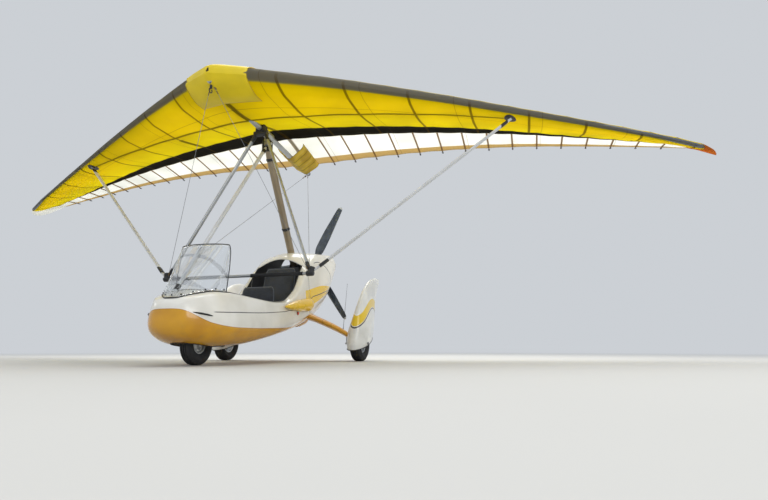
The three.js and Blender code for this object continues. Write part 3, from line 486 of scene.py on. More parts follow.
def tube(points, radius, around=12, bm=None, flat=1.0, guide=(0, 0, 1)):
    """A rod, wire or pipe along a list of points. flat makes it oval, widest across the guide."""
    rings = []
    last = len(points) - 1
    guide = Vector(guide)
    for i, point in enumerate(points):
        along = (points[min(i + 1, last)] - points[max(i - 1, 0)]).normalized()
        if abs(along.dot(guide)) > 0.95:
            guide = Vector((1, 0, 0)) if abs(along.x) < 0.9 else Vector((0, 1, 0))
        across = along.cross(guide).normalized()
        guide = across.cross(along).normalized()
        width = radius[i] if isinstance(radius, (list, tuple)) else radius
        rings.append([point + width * (flat * math.cos(a) * across + math.sin(a) * guide)
                      for a in turns(around)])
    return loft(rings, bm)


def plain(name, code, roughness, grain=90.0, relief=0.0004, shift=0.06, **others):
    """A finish with faint patches of tone and a fine grain, for most plain surfaces."""
    wear = 0.16
    look = Finish(name)
    tone = paint(code)
    dark = tuple(v * (1 - 2 * shift) for v in tone[:3]) + (1,)
    if relief:
        others["Normal"] = look.bump(look.noise(grain, 4.0), relief)
    worn = look.plus(look.times(look.noise(14.0), wear), roughness - wear / 2)
    return look.done(look.shader(look.mix(look.patches(5.0), dark, tone), worn, **others))


pocket_look = plain("batten_pocket", "8a6a3c", 0.7, grain=300.0)
cap_look = plain("batten_cap", "26221e", 0.5)
for word, side in sides:
    rods, caps = bmesh.new(), bmesh.new()
    for i in range(BATTENS):
        left = FIRST_BATTEN + i * BATTEN_STEP
        line = [on_side(sail_point(left, s, -BATTEN_RADIUS - CLOTH), side) for s in BATTEN_RUN]
        tube(line, BATTEN_RADIUS, 8, rods)
        end = line[-1]
        tail = end + (end - line[-2]).normalized() * CAP_LENGTH
        tube([end.lerp(tail, 0.05), tail], CAP_RADIUS, 8, caps)
        knot = end + Vector((0, 0, LOOP_HALF))
        bows = [knot.lerp(tail, 0.5) + Vector((x, 0, -LOOP_HALF)) for x in (LOOP_HALF, -LOOP_HALF)]
        loop = [knot, bows[0], tail + Vector((0, 0, -0.004)), bows[1], knot]
        tube(loop, LOOP_RADIUS, 5, caps)
    keep(rods, "battens_" + word, "wing", "alloy", pocket_look)
    keep(caps, "batten_caps_" + word, "wing", "black_plastic", cap_look)

# Hems: an edge of tan tape, folded and sewn on along each trailing edge, and a thinner one along
# the rear edge of the under skin.
HEMS = (
    # name, first place's left, share of chord, steps, radius
    ("trailing_hem_", 0.0, 0.998, 150, 0.0032), ("under_hem_", SLOT_HALF, -UNDER, 120, 0.0024),
)
hem_look = plain("hem_tape", "b7a57c", 0.7, grain=400.0)
for word, side in sides:
    for name, first, share, count, radius in HEMS:
        edge = [on_side(sail_point(first + (SAIL_END - first) * t, share), side) for t in steps(count)]
        keep(tube(edge, radius, 6), name + word, "wing", "sail_cloth", hem_look)

# Leading-edge and cross tubes: round alloy tubes closed inside the sail, which show only as
# shadows through the cloth.
LEAD_TUBE_RADIUS, CROSS_TUBE_RADIUS = 0.022, 0.024


def in_sail(left, share, side=1):
    """A place half way between the two skins."""
    return on_side(sail_point(left, share).lerp(sail_point(left, -share), 0.5), side)


frame_tubes = bmesh.new()
for word, side in sides:
    lead = [in_sail(0.02 + (SAIL_END - 0.05) * t, 0.03, side) for t in steps(12)]
    tube(lead, LEAD_TUBE_RADIUS, 16, frame_tubes)
    cross = [in_sail(left, CROSS_START - left * (CROSS_SLOPE + CROSS_BEND * left), side)
             for left in (0.08, 0.95, 1.80, 2.68)]
    tube(cross, CROSS_TUBE_RADIUS, 16, frame_tubes)
keep(frame_tubes, "inner_tubes", "wing", "alloy", plain("inner_tube", "6f7275", 0.4, Metallic=0.8))

# Nose cone: a padded cloth cover laced over the place where the leading edges meet, with a hem at
# each end.
CONE_HALF, CONE_RUN, CONE_BACK, CONE_LIFT = 0.33, 0.30, 0.47, 0.016


def cone_place(u, v):
    left = (2 * u - 1) * CONE_HALF
    soft = math.sqrt(left**2 + 0.025**2)
    point = sail_point(soft, (v - CONE_BACK) * CONE_RUN)
    away = (point - in_sail(soft, 0.06)).normalized()
    grown = point + away * CONE_LIFT * (1 - 0.5 * abs(2 * u - 1) ** 3)
    return Vector((math.copysign(grown.x, left) if soft > 0.03 else left, grown.y, grown.z))


cone_look = plain("nose_cone_cloth", "e6cb02", 0.6, grain=500.0, relief=0.0002)
keep(patch(36, 26, cone_place), "nose_cone_cover", "wing", "sail_cloth", cone_look,
     stands_for=["nose_cone"], wall=0.003)
lace = bmesh.new()
for end in (0.0, 1.0):
    tube([cone_place(end, v) for v in steps(20)], 0.0035, 6, lace)
keep(lace, "nose_cone_hems", "wing", "sail_cloth", plain("cone_hem", "c9ad14", 0.7, grain=400.0))

# Keel tube: a thick alloy tube along the wing's middle, with a dark plug at its rear end and a
# dark rigging hook under its nose. The nose and tail ends show, and the rest is a shadow.
KEEL_UP, KEEL_RADIUS = 0.105, 0.030
KEEL_NOSE, KEEL_TAIL, PLUG_END = 1.138, -1.118, -1.130
HOOK_FORE, HOOK_UP, HOOK_RADIUS = 1.10, 0.034, 0.022


def places(where, *spots):
    """Spots of the wing's or of the trike's own frame, as places of the aircraft."""
    return [where(*spot) for spot in spots]


alloy_look = plain("alloy", "b4b7b9", 0.40, relief=0.0, Metallic=0.8)
dark_look = plain("dark_fitting", "2a2b2d", 0.55, grain=160.0)
keel = tube(places(on_wing, (0, KEEL_NOSE, KEEL_UP), (0, KEEL_TAIL, KEEL_UP)), KEEL_RADIUS, 32)
keep(keel, "keel_tube_round", "wing", "alloy", alloy_look, stands_for=["keel_tube"], round_off=0.002)
plugs = tube(places(on_wing, (0, KEEL_TAIL + 0.006, KEEL_UP), (0, PLUG_END, KEEL_UP)), 0.0305, 32)
tube(places(on_wing, (0, HOOK_FORE, KEEL_UP - 0.02), (0, HOOK_FORE, HOOK_UP + 0.002)), 0.012, 12, plugs)
hook = [on_wing(0, HOOK_FORE + HOOK_RADIUS * math.sin(a), HOOK_UP - HOOK_RADIUS * (1 - math.cos(a)))
        for a in turns(16)[:15]]
tube(hook, 0.005, 8, plugs)
keep(plugs, "keel_plug_and_nose_hook", "wing", "black_plastic", dark_look, round_off=0.0015)

# Keel pocket: a trunk of yellow sailcloth, sewn to the sail's root, which hangs in folds round
# the rear of the keel and keeps the sail over its middle.
POCKET_FRONT, POCKET_REAR = -0.560, -1.060
POCKET_TOP, POCKET_FALL, POCKET_LOW = 0.255, 0.05, 0.072
POCKET_WIDE, POCKET_NARROWS = 0.172, 0.105
POCKET_FOLDS, FOLD_DEPTH = 4, 0.010


def pocket_place(u, v):
    turn = math.pi * u
    fold = FOLD_DEPTH * math.sin(2 * math.pi * POCKET_FOLDS * v) * math.sin(turn) ** 0.7
    top = POCKET_TOP - POCKET_FALL * v
    wide = POCKET_WIDE - POCKET_NARROWS * smooth(math.sin(turn)) + fold
    low = top - (top - POCKET_LOW) * math.sin(turn) ** 0.8 - fold * 0.25
    return on_wing(wide * math.cos(turn) * 1.02, POCKET_FRONT + v * (POCKET_REAR - POCKET_FRONT), low)


look = Finish("keel_pocket_cloth")
# the dark lines along the folds are painted shade in the creases
stripe = look.line(look.calc("PINGPONG", look.point("UV")[1], 0.5 / POCKET_FOLDS), 0.0, 0.018)
gold = look.mix(look.patches(7.0), "cfb024", "ecd444")
gold = look.mix(look.times(stripe, 0.5), gold, "7c5a14")
weave = look.bump(look.noise(380.0, 1.0), 0.0008)
pocket_finish = translucent(look, gold, weave, 0.4, Sheen_Weight=0.2)
pocket = keep(patch(40, 64, pocket_place), "keel_pocket_cloth", "wing", "sail_cloth", pocket_finish,
              stands_for=["keel_pocket"], wall=0.0014)

# Control frame: two streamlined alloy uprights from the keel to the base bar, which is a round
# tube with black foam grips and a plastic corner at each end, bolted through.
BAR_HALF, BAR_FORE, BAR_UP = 0.800, 0.384, -1.620
UPRIGHT_TOP = (0.052, 0.150, KEEL_UP - 0.048)
CORNER = ((-0.042, 0.020), (-0.036, 0.0265), (0.026, 0.0265), (0.034, 0.019))
CORNER_NECK = ((-0.008, 0.029), (0.030, 0.0305), (0.060, 0.0285), (0.064, 0.024))


def bar_end(side, inset=0.0):
    return on_wing(side * (BAR_HALF - inset), BAR_FORE, BAR_UP)


def row(start, end, *shares):
    """Places along a straight line."""
    return [start.lerp(end, share) for share in shares]


def stepped(rows, place, around, bm=None, **shape):
    """A round piece whose radius changes along it, from rows of (where, radius)."""
    return tube([place(where) for where, _ in rows], [radius for _, radius in rows], around, bm, **shape)


def pin(middle, reach, radius, around, bm=None):
    """A straight rod that reaches equally far both ways from its middle."""
    return tube([middle - Vector(reach), middle + Vector(reach)], radius, around, bm)


grip_look = plain("foam_grip", "1d1e20", 0.85, grain=700.0, relief=0.0015)
for word, side in sides:
    foot, head = bar_end(side), on_wing(side * UPRIGHT_TOP[0], *UPRIGHT_TOP[1:])
    upright = tube(row(head, foot, 0.02, 0.97), 0.024, 28, flat=0.60, guide=(0, 1, 0))
    keep(upright, "upright_faired_" + word, "wing", "alloy", alloy_look,
         stands_for=["upright_" + word], round_off=0.002)
    fittings = bmesh.new()
    for sleeve in (row(head, foot, 0.018, 0.062), row(foot, head, 0.028, 0.066)):
        tube(sleeve, 0.0262, 28, fittings, flat=0.66, guide=(0, 1, 0))
    for middle in row(head, foot, 0.030, 0.050, 0.945, 0.960):
        pin(middle, (0.021, 0, 0), 0.006, 6, fittings)
    keep(fittings, "upright_ends_" + word, "wing", "black_plastic", dark_look, round_off=0.001)

bar = tube([bar_end(-1, 0.02), bar_end(1, 0.02)], 0.0145, 24)
keep(bar, "base_bar_tube", "wing", "alloy", alloy_look, stands_for=["base_bar"])
grips, corners = bmesh.new(), bmesh.new()
for _, side in sides:
    def near_corner(x, fore=0.0, up=0.0):
        return on_wing(side * (BAR_HALF + x), BAR_FORE + fore, BAR_UP + up)

    stepped([(0.17 + 0.0205 * i, 0.0185 + 0.0006 * math.sin(1.9 * i)) for i in range(28)],
            lambda x: near_corner(x - BAR_HALF), 20, grips)
    stepped(CORNER, near_corner, 24, corners)
    stepped(CORNER_NECK, lambda up: near_corner(0.2 * up, -0.1 * up, up), 24, corners)
    for x, up in ((-0.022, 0.0), (0.018, 0.0), (0.008, 0.044)):
        tube(places(near_corner, (x, -0.034, up), (x, 0.034, up)), 0.0065, 6, corners)
        tube(places(near_corner, (x, 0.028, up), (x, 0.0315, up)), 0.0105, 16, corners)
keep(grips, "base_bar_grips", "wing", "black_plastic", grip_look, round_off=0.002)
keep(corners, "base_bar_corners", "wing", "black_plastic", dark_look, round_off=0.0015)

# Lift struts: one silver streamlined strut a side, from the bar's corner to the middle of the
# wing, with a black boot and a forked alloy end at the top that goes through a dark cloth oval.
STRUT_TOP = (2.730, -0.235, 0.112)
STRUT = (
    # share of the length, radius
    (0.018, 0.016), (0.030, 0.024), (0.05, 0.0305), (0.5, 0.0305), (0.95, 0.0305), (0.975, 0.024),
    (0.992, 0.014),
)
BOOTS = (
    ((0.040, 0.030), (0.046, 0.0322), (0.075, 0.0322), (0.080, 0.030)),
    ((0.925, 0.030), (0.930, 0.0322), (0.955, 0.0322), (0.960, 0.030)),
)
OVAL_LEFT, OVAL_HALF = STRUT_TOP[0] - 0.045, 0.060
OVAL_SHARE, OVAL_RUN = -0.105, 0.070
silver_look = plain("strut_silver", "d6d8da", 0.48, relief=0.0, Metallic=0.15)
strut_fork_look = plain("fork_alloy", "d8dadb", 0.35, Metallic=0.7)
for word, side in sides:
    foot, head = bar_end(side), on_wing(side * STRUT_TOP[0], *STRUT_TOP[1:])

    def up_strut(share):
        return foot.lerp(head, share)

    def oval_place(u, v):
        left = OVAL_LEFT + OVAL_HALF * v * math.cos(2 * math.pi * u)
        share = OVAL_SHARE + OVAL_RUN * v * math.sin(2 * math.pi * u)
        return on_side(sail_point(left, share, 0.0025), side)

    strut = stepped(STRUT, up_strut, 28, flat=0.39, guide=(0, 1, 0))
    keep(strut, "lift_strut_faired_" + word, "wing", "alloy", silver_look,
         stands_for=["lift_strut_" + word], sharp=30)
    boots = bmesh.new()
    for boot in BOOTS:
        stepped(boot, up_strut, 28, boots, flat=0.42, guide=(0, 1, 0))
    keep(boots, "strut_boots_" + word, "wing", "black_plastic", dark_look)
    oval = patch(40, 6, oval_place)
    bmesh.ops.remove_doubles(oval, verts=oval.verts, dist=0.0004)
    keep(oval, "strut_opening_" + word, "wing", "black_plastic", dark_look, wall=0.001)
    fork = tube(row(foot, head, 0.968, 0.990), 0.013, 16)
    pin(up_strut(0.981), (0, 0.034, 0), 0.006, 6, fork)
    keep(fork, "strut_fork_" + word, "wing", "steel", strut_fork_look)

# Stays: thin stainless wires from the bar's corners to the nose and to the rear of the keel, each
# with a pressed sleeve and a tang at both ends.
STAYS = (
    # name, anchor fore and up, half spread
    ("front", 1.080, 0.060, 0.024), ("rear", -1.085, 0.062, 0.012),
)
WIRE_RADIUS, SLEEVE_RADIUS, TANG_RADIUS = 0.0021, 0.0052, 0.009
wire_look = plain("stay_wire", "8b8e90", 0.4, grain=900.0, relief=0.0006, Metallic=0.9)
sleeve_look = plain("stay_sleeve", "7d6a4c", 0.45, Metallic=0.8)
for name, fore, up, spread in STAYS:
    for word, side in sides:
        low, top = bar_end(side, 0.010), on_wing(side * spread, fore, up)
        run = (top - low).normalized()
        wire = tube([low + run * 0.03, top - run * 0.012], WIRE_RADIUS, 8)
        keep(wire, name + "_stay_wire_" + word, "wing", "steel", wire_look,
             stands_for=[name + "_stay_" + word])
        ends = tube([low + run * 0.045, low + run * 0.075], SLEEVE_RADIUS, 10)
        tube([top - run * 0.075, top - run * 0.045], SLEEVE_RADIUS, 10, ends)
        tube([top - run * 0.03, top + run * 0.004], TANG_RADIUS, 12, ends, flat=0.25)
        keep(ends, name + "_stay_ends_" + word, "wing", "steel", sleeve_look)

# Hang bracket: an alloy sleeve that rolls on the keel between two collars, with a cheek block down
# to the hang bolt, which passes through the fork at the top of the mast. The control frame's
# dark apex block is bolted to the keel ahead of it.
APEX_FORE = 0.150


def block(bm, middle, size, turn=Matrix.Identity(4)):
    """A square block about its middle, before its edges are rounded."""
    place = Matrix.Translation(middle) @ turn @ Matrix.Diagonal((*size, 1))
    bmesh.ops.create_cube(bm, size=1.0, matrix=place)


bracket = tube(places(on_wing, (0, 0.062, KEEL_UP), (0, -0.062, KEEL_UP)), 0.0425, 36)
for fore in (0.066, -0.066):
    tube(places(on_wing, (0, fore - 0.004, KEEL_UP), (0, fore + 0.004, KEEL_UP)), 0.046, 36, bracket)
block(bracket, on_wing(0, 0, 0.022), (0.054, 0.050, 0.100), wing_turn.to_4x4())
keep(bracket, "hang_bracket_block", "hang_link", "alloy", alloy_look, stands_for=["hang_bracket"],
     round_off=0.003)
apex = bmesh.new()
block(apex, on_wing(0, APEX_FORE, KEEL_UP), (0.096, 0.090, 0.090), wing_turn.to_4x4())
block(apex, on_wing(0, APEX_FORE, KEEL_UP - 0.054), (0.156, 0.070, 0.036), wing_turn.to_4x4())
for left in (-0.060, 0.060):
    bolt = [on_wing(left, APEX_FORE + reach, 0.052) for reach in (0.044, -0.044)]
    tube(bolt, 0.008, 6, apex)
keep(apex, "apex_block", "wing", "black_plastic", dark_look, stands_for=["apex_bracket"],
     round_off=0.005)

# Mast: a tall brown-anodised tube that leans forward from the engine bed to the hang bolt. Its
# head is a dark fork whose bolt has a nut at each end, and dark collars with lugs clamp its length.
MAST = ((0.0, 0.040), (0.03, 0.042), (0.5, 0.042), (0.93, 0.042), (0.96, 0.038), (1.0, 0.032))
COLLAR_HEIGHT, COLLAR_RADIUS = 0.022, 0.0455


def at(left, fore, up):
    """A place of the trike: left of the middle, ahead of the hang bolt and up from the ground."""
    return Vector((left, hang.y - fore, up))


mast_foot, mast_top = at(0, -0.815, 1.110), at(0, -0.020, hang.z - 0.050)
mast_look = plain("mast_anodised", "9a8c76", 0.42, relief=0.0, shift=0.03, Metallic=0.6)
mast = stepped(MAST, lambda share: mast_foot.lerp(mast_top, share), 36, guide=(1, 0, 0))
keep(mast, "mast_tube", "trike", "painted_tube", mast_look, stands_for=["mast"], sharp=30)
collars = bmesh.new()
for share in (0.012, 0.34, 0.905):
    collar = row(mast_foot, mast_top, share, share + COLLAR_HEIGHT)
    tube(collar, COLLAR_RADIUS, 36, collars, guide=(1, 0, 0))
    for _, side in sides:
        lug = collar[0].lerp(collar[1], 0.5)
        pin(lug + Vector((side * 0.050, 0, 0)), (side * 0.004, 0, 0), 0.007, 6, collars)
for _, side in sides:
    block(collars, at(side * 0.0382, -0.006, hang.z - 0.026), (0.0195, 0.078, 0.122))
block(collars, at(0, -0.006, hang.z - 0.066), (0.09, 0.074, 0.042))
keep(collars, "mast_head_and_collars", "trike", "black_plastic", dark_look, round_off=0.003)
hang_bolt = tube([at(-0.056, 0, hang.z), at(0.056, 0, hang.z)], 0.008, 20)
for _, side in sides:
    tube([at(side * 0.048, 0, hang.z), at(side * 0.050, 0, hang.z)], 0.015, 24, hang_bolt)
    tube([at(side * 0.050, 0, hang.z), at(side * 0.059, 0, hang.z)], 0.013, 6, hang_bolt)
keep(hang_bolt, "hang_bolt", "trike", "steel", silver_look, round_off=0.0008)

# Front strut: a slimmer silver tube from the mast's head down to the deck behind the screen, with
# a clevis pin at each end.
FRONT_STRUT = ((0.0, 0.013), (0.02, 0.019), (0.5, 0.019), (0.97, 0.019), (1.0, 0.014))
front_top, front_foot = at(0, 0.030, hang.z - 0.060), at(0, 1.370, 0.600)
front = stepped(FRONT_STRUT, lambda share: front_foot.lerp(front_top, share), 28)
keep(front, "front_strut_tube", "trike", "alloy", silver_look, stands_for=["front_strut"], sharp=30)
pins = bmesh.new()
for share in (0.018, 0.965):
    pin(front_foot.lerp(front_top, share), (0.028, 0, 0), 0.006, 6, pins)
    tube(row(front_foot, front_top, share - 0.012, share + 0.012), 0.022, 24, pins)
keep(pins, "front_strut_pins", "trike", "steel", dark_look, round_off=0.001)

# Pod and cowl: a glass-fibre tub and engine cowl in one smooth shape, cream with an amber belly, a
# yellow flash behind each side outlet and thin dark lines. They open for the cockpit, for the nose
# wheel and behind the engine, and are lined in dark grey.
HULL = (
    # back, half width at the waist, waist up, belly up, rim up, half width at the rim, crown, round
    (-1.474, 0.004, 0.398, 0.392, 0.402, 0.003, 0.000, 2.2),
    (-1.470, 0.060, 0.400, 0.352, 0.446, 0.044, 0.004, 2.4),
    (-1.455, 0.138, 0.390, 0.300, 0.490, 0.110, 0.012, 2.5),
    (-1.405, 0.212, 0.375, 0.245, 0.530, 0.170, 0.022, 2.6),
    (-1.315, 0.284, 0.360, 0.200, 0.570, 0.228, 0.028, 2.6),
    (-1.180, 0.340, 0.350, 0.165, 0.602, 0.280, 0.032, 2.6),
    (-0.980, 0.372, 0.350, 0.150, 0.610, 0.312, 0.034, 2.6),
    (-0.700, 0.384, 0.360, 0.165, 0.600, 0.335, 0.030, 2.6),
    (-0.350, 0.388, 0.375, 0.215, 0.592, 0.350, 0.030, 2.6),
    (-0.100, 0.390, 0.395, 0.265, 0.612, 0.362, 0.030, 2.6),
    (0.150, 0.392, 0.450, 0.320, 0.740, 0.368, 0.040, 2.6),
    (0.430, 0.396, 0.560, 0.385, 1.040, 0.345, 0.130, 2.5),
    (0.650, 0.402, 0.740, 0.432, 1.215, 0.330, 0.070, 2.3),
    (0.900, 0.408, 0.960, 0.482, 1.285, 0.340, 0.040, 2.1),
    (1.100, 0.400, 1.130, 0.560, 1.312, 0.345, 0.030, 1.8),
    (1.200, 0.395, 1.200, 0.640, 1.322, 0.328, 0.026, 1.5),
)
COCKPIT = (
    # back, half width of the opening
    (-1.190, 0.131), (-1.160, 0.193), (-1.000, 0.276), (-0.700, 0.306), (-0.350, 0.321), (-0.100, 0.333),
    (0.150, 0.339), (0.430, 0.318),
)
WELL = (
    # back, half width of the nose-wheel opening in the belly
    (-1.262, 0.060), (-1.235, 0.112), (-1.180, 0.136), (-1.050, 0.142), (-0.960, 0.188), (-0.900, 0.182),
    (-0.820, 0.104), (-0.720, 0.034),
)
COCKPIT_STOPS, WELL_STOPS = (-1.176,), (-1.248, -0.732)
NOSE_STOPS = (-1.474, -1.4725, -1.470, -1.466, -1.461, -1.455, -1.447, -1.437, -1.425, -1.412)
POD_FROM, POD_TO, COWL_FROM, COWL_TO = -1.398, 0.428, 0.432, 1.200
HULL_WALL = 0.006
STEP_BACK, STOP_ROOM = 0.026, 0.008
BELLY_STEPS, SIDE_STEPS, DECK_STEPS = 10, 32, 8
TRACK_REAR, TRACK_LENGTH = -1.2, 2.7
BELLY_TOP = (
    # fore, height at which the amber belly meets the cream
    (1.47, 0.455), (1.44, 0.442), (1.40, 0.412), (1.35, 0.376), (1.29, 0.350), (1.20, 0.331),
    (1.08, 0.321), (0.95, 0.318), (0.55, 0.328), (-0.06, 0.352), (-0.33, 0.500), (-0.60, 0.560),
    (-0.95, 0.560), (-1.17, 0.590),
)
FLASH_LOW = ((-0.34, 0.575), (-0.55, 0.640), (-0.94, 0.820), (-1.10, 0.905))
FLASH_HIGH = ((-0.34, 0.760), (-0.66, 0.880), (-0.94, 0.900), (-1.10, 0.912))
FLASH_MIDDLE = ((-0.34, 0.655), (-0.51, 0.717), (-0.94, 0.856), (-1.12, 0.916))
SIDE_LINE = ((1.30, 0.430), (1.0, 0.445), (0.54, 0.470), (0.15, 0.512), (-0.03, 0.545))


def hull_section(back):
    """Half a cross-section, from the middle of the belly round to the middle of the deck."""
    _, half, waist, belly, rim, rim_half, crown, round_ = between(HULL, back)
    power = 2 / round_
    points = []
    for t in steps(24):
        turn = math.pi / 2 * t
        points.append((half * math.sin(turn) ** power,
                       waist - (waist - belly) * max(math.cos(turn), 0.0) ** power))
    for t in steps(8)[1:]:
        points.append((half + (rim_half - half) * t**1.6, waist + (rim - waist) * t))
    for t in steps(6)[1:]:
        points.append((rim_half * (1 - t), rim + crown * math.sin(math.pi / 2 * t)))
    for _ in range(2):  # cuts the corners off, twice
        cut = [points[0]]
        for a, b in zip(points, points[1:]):
            cut += [tuple((1 - t) * p + t * q for p, q in zip(a, b)) for t in (0.25, 0.75)]
        points = cut + [points[-1]]
    return points


def part_at(run, width):
    """A line of points cut in two where it first gets wider than a half width."""
    last = next(i for i in range(1, len(run)) if run[i][0] > width)
    before, after = run[last - 1], run[last]
    t = (width - before[0]) / (after[0] - before[0])
    spot = (width, before[1] + t * (after[1] - before[1]))
    return run[:last] + [spot], [spot] + run[last:]


def even(points, count):
    """Points spaced evenly along a line of points."""
    spans = [math.dist(a, b) for a, b in zip(points, points[1:])]
    found, k, passed = [], 0, 0.0
    for wanted in (sum(spans) * t for t in steps(count)):
        while k < len(spans) - 1 and passed + spans[k] < wanted:
            passed += spans[k]
            k += 1
        t = min(max((wanted - passed) / max(spans[k], 1e-9), 0.0), 1.0)
        found.append(tuple(p + (q - p) * t for p, q in zip(points[k], points[k + 1])))
    return found


def hull_run(back):
    """Half a section: the belly inside the well's edge, the side, the deck inside the cockpit's."""
    points = hull_section(back)
    widest = max(range(len(points)), key=lambda i: points[i][0])
    well_half = min(between(WELL, back)[1], 0.5 * points[widest][0])
    cockpit_half = min(between(COCKPIT, back)[1], 0.8 * between(HULL, back)[5])
    belly, low_side = part_at(points[:widest + 1], well_half)
    deck, high_side = part_at(points[:widest - 1:-1], cockpit_half)
    side_run = low_side + high_side[-2::-1]
    return even(belly, BELLY_STEPS), even(side_run, SIDE_STEPS), even(deck[::-1], DECK_STEPS)


def track(look, fore, rows):
    """A value that follows rows of (fore, value) along the length."""
    made = look.add("ValToRGB", {0: look.add("MapRange", {0: fore, 1: TRACK_REAR,
                                                          2: TRACK_REAR + TRACK_LENGTH}).outputs[0]})
    bands = made.color_ramp.elements
    while len(bands) < len(rows):
        bands.new(0.5)
    for band, (where, value) in zip(bands, sorted(rows)):
        band.position = (where - TRACK_REAR) / TRACK_LENGTH
        band.color = (value, value, value, 1)
    made.color_ramp.interpolation = "B_SPLINE"
    return made.outputs[0]


def shell_paint():
    look = Finish("shell_paint")
    _, y, z = look.point()
    fore = look.minus(hang.y, y)
    tone = look.patches(3.0)
    cream = look.mix(tone, "dddad0", "edebe4")
    above = look.minus(z, track(look, fore, BELLY_TOP))
    colour = look.mix(look.step(above, -0.002, 0.002), look.mix(tone, "c28708", "da9f0e"), cream)
    rear_lip = look.times(look.step(fore, -1.135, -1.140), look.step(z, 0.74, 0.73))
    colour = look.mix(rear_lip, colour, cream)
    # a yellow flash behind each outlet, narrowing to the rear, with a dark stripe along its middle
    flash = look.times(look.step(look.minus(z, track(look, fore, FLASH_LOW)), -0.002, 0.002),
                       look.step(look.minus(track(look, fore, FLASH_HIGH), z), -0.002, 0.002),
                       look.step(fore, -0.33, -0.335))
    colour = look.mix(flash, colour, "f0c81c")
    stripe = look.times(look.line(z, track(look, fore, FLASH_MIDDLE), 0.006),
                        look.step(fore, -0.33, -0.34))
    # a thin line along the pod's side, and one that bends round the cowl's upper corner
    side_line = look.times(look.line(z, track(look, fore, SIDE_LINE), 0.0045),
                           look.step(fore, -0.05, -0.02), look.step(fore, 1.27, 1.24))
    arc_fore, arc_up = look.plus(fore, 0.74), look.minus(z, 0.86)
    reach = look.calc("SQRT", look.plus(look.times(arc_fore, arc_fore), look.times(arc_up, arc_up)))
    cowl_line = look.times(look.line(reach, 0.303, 0.005), look.step(fore, -0.60, -0.62),
                           look.step(z, 0.955, 0.975))
    # the joint between pod and cowl, and the belly's edge
    joints = look.most(look.times(look.line(fore, -0.43, 0.0025), 0.8),
                       look.times(look.line(above, -0.004, 0.0022), 0.45))
    colour = look.mix(look.most(look.most(stripe, side_line, cowl_line), joints), colour, "2a2a2c")
    dust = look.times(look.step(look.noise(9.0, 6.0), 0.5, 0.8), look.step(z, 0.45, 0.14))
    colour = look.mix(look.times(dust, 0.35), colour, "7a6a48")
    gloss = look.plus(look.times(look.noise(12.0), 0.12), 0.16)
    orange_peel = look.bump(look.noise(160.0, 1.0), 0.00012)
    return look.done(look.shader(colour, gloss, Normal=orange_peel, Coat_Weight=0.5,
                                 Coat_Roughness=0.08))


def join(bm, other):
    """Adds another bmesh to bm."""
    spare = as_mesh(other, "spare")
    bm.from_mesh(spare)
    bpy.data.meshes.remove(spare)


def hull_shell(stations):
    """Both halves of the shell over these stations, merged in the middle, with its openings."""
    shell = bmesh.new()
    runs = [belly + side_run[1:] + deck[1:] for belly, side_run, deck in map(hull_run, stations)]
    bays, rows = len(stations) - 1, BELLY_STEPS + SIDE_STEPS + DECK_STEPS
    for _, side in sides:
        def place(u, v):
            station = round(u * bays)
            x, up = runs[station][round(v * rows)]
            return Vector((side * x, hang.y + stations[station], up))

        half = patch(bays, rows, place)
        uv_map = half.loops.layers.uv.active
        opened = []
        for face in half.faces:
            middle = sum((loop[uv_map].uv for loop in face.loops), Vector((0, 0))) / 4
            back, where = stations[int(middle.x * bays)] + 0.001, middle.y * rows
            in_well = where < BELLY_STEPS and WELL[0][0] < back < WELL[-1][0]
            in_cockpit = where > BELLY_STEPS + SIDE_STEPS and COCKPIT[0][0] < back < COCKPIT[-1][0]
            if in_well or in_cockpit:
                opened.append(face)
        bmesh.ops.delete(half, geom=opened, context="FACES")
        join(shell, half)
    bmesh.ops.remove_doubles(shell, verts=shell.verts, dist=0.0006)
    nose_ring = [edge for edge in shell.edges
                 if edge.is_boundary and edge.verts[0].co.y < hang.y + NOSE_STOPS[0] + 0.001]
    bmesh.ops.holes_fill(shell, edges=nose_ring, sides=0)
    return shell


def stations_between(first, last, *stops):
    """Even stations, except that each stop takes the place of those close to it."""
    found = [first + (last - first) * t for t in steps(round((last - first) / STEP_BACK))]
    clear = [back for back in found if all(abs(back - stop) > STOP_ROOM for stop in stops)]
    return sorted(clear + list(stops))


paint_look = shell_paint()
liner_look = plain("shell_liner", "3a3b3c", 0.8, grain=260.0, relief=0.001)
pod_stations = list(NOSE_STOPS) + stations_between(
    POD_FROM, POD_TO, COCKPIT[0][0], *COCKPIT_STOPS, WELL[0][0], *WELL_STOPS, WELL[-1][0])
keep(hull_shell(pod_stations), "nose_pod_shell", "trike", "shell_cream", paint_look, liner_look,
     stands_for=["nose_pod"], wall=HULL_WALL, sharp=50)
keep(hull_shell(stations_between(COWL_FROM, COWL_TO)), "rear_cowl_shell", "trike", "shell_cream",
     paint_look, liner_look, stands_for=["rear_cowl"], wall=HULL_WALL, sharp=50)

# Edge trims: a black rubber strip pressed over the rim of the cockpit's opening, and a thinner one
# round the nose wheel's well.


def mirrored(line):
    """A line of (left, back, up) and its mirror image, joined at its last point."""
    return [Vector((side * x, hang.y + back, up))
            for side, half in ((1, line), (-1, line[-2::-1])) for x, back, up in half]


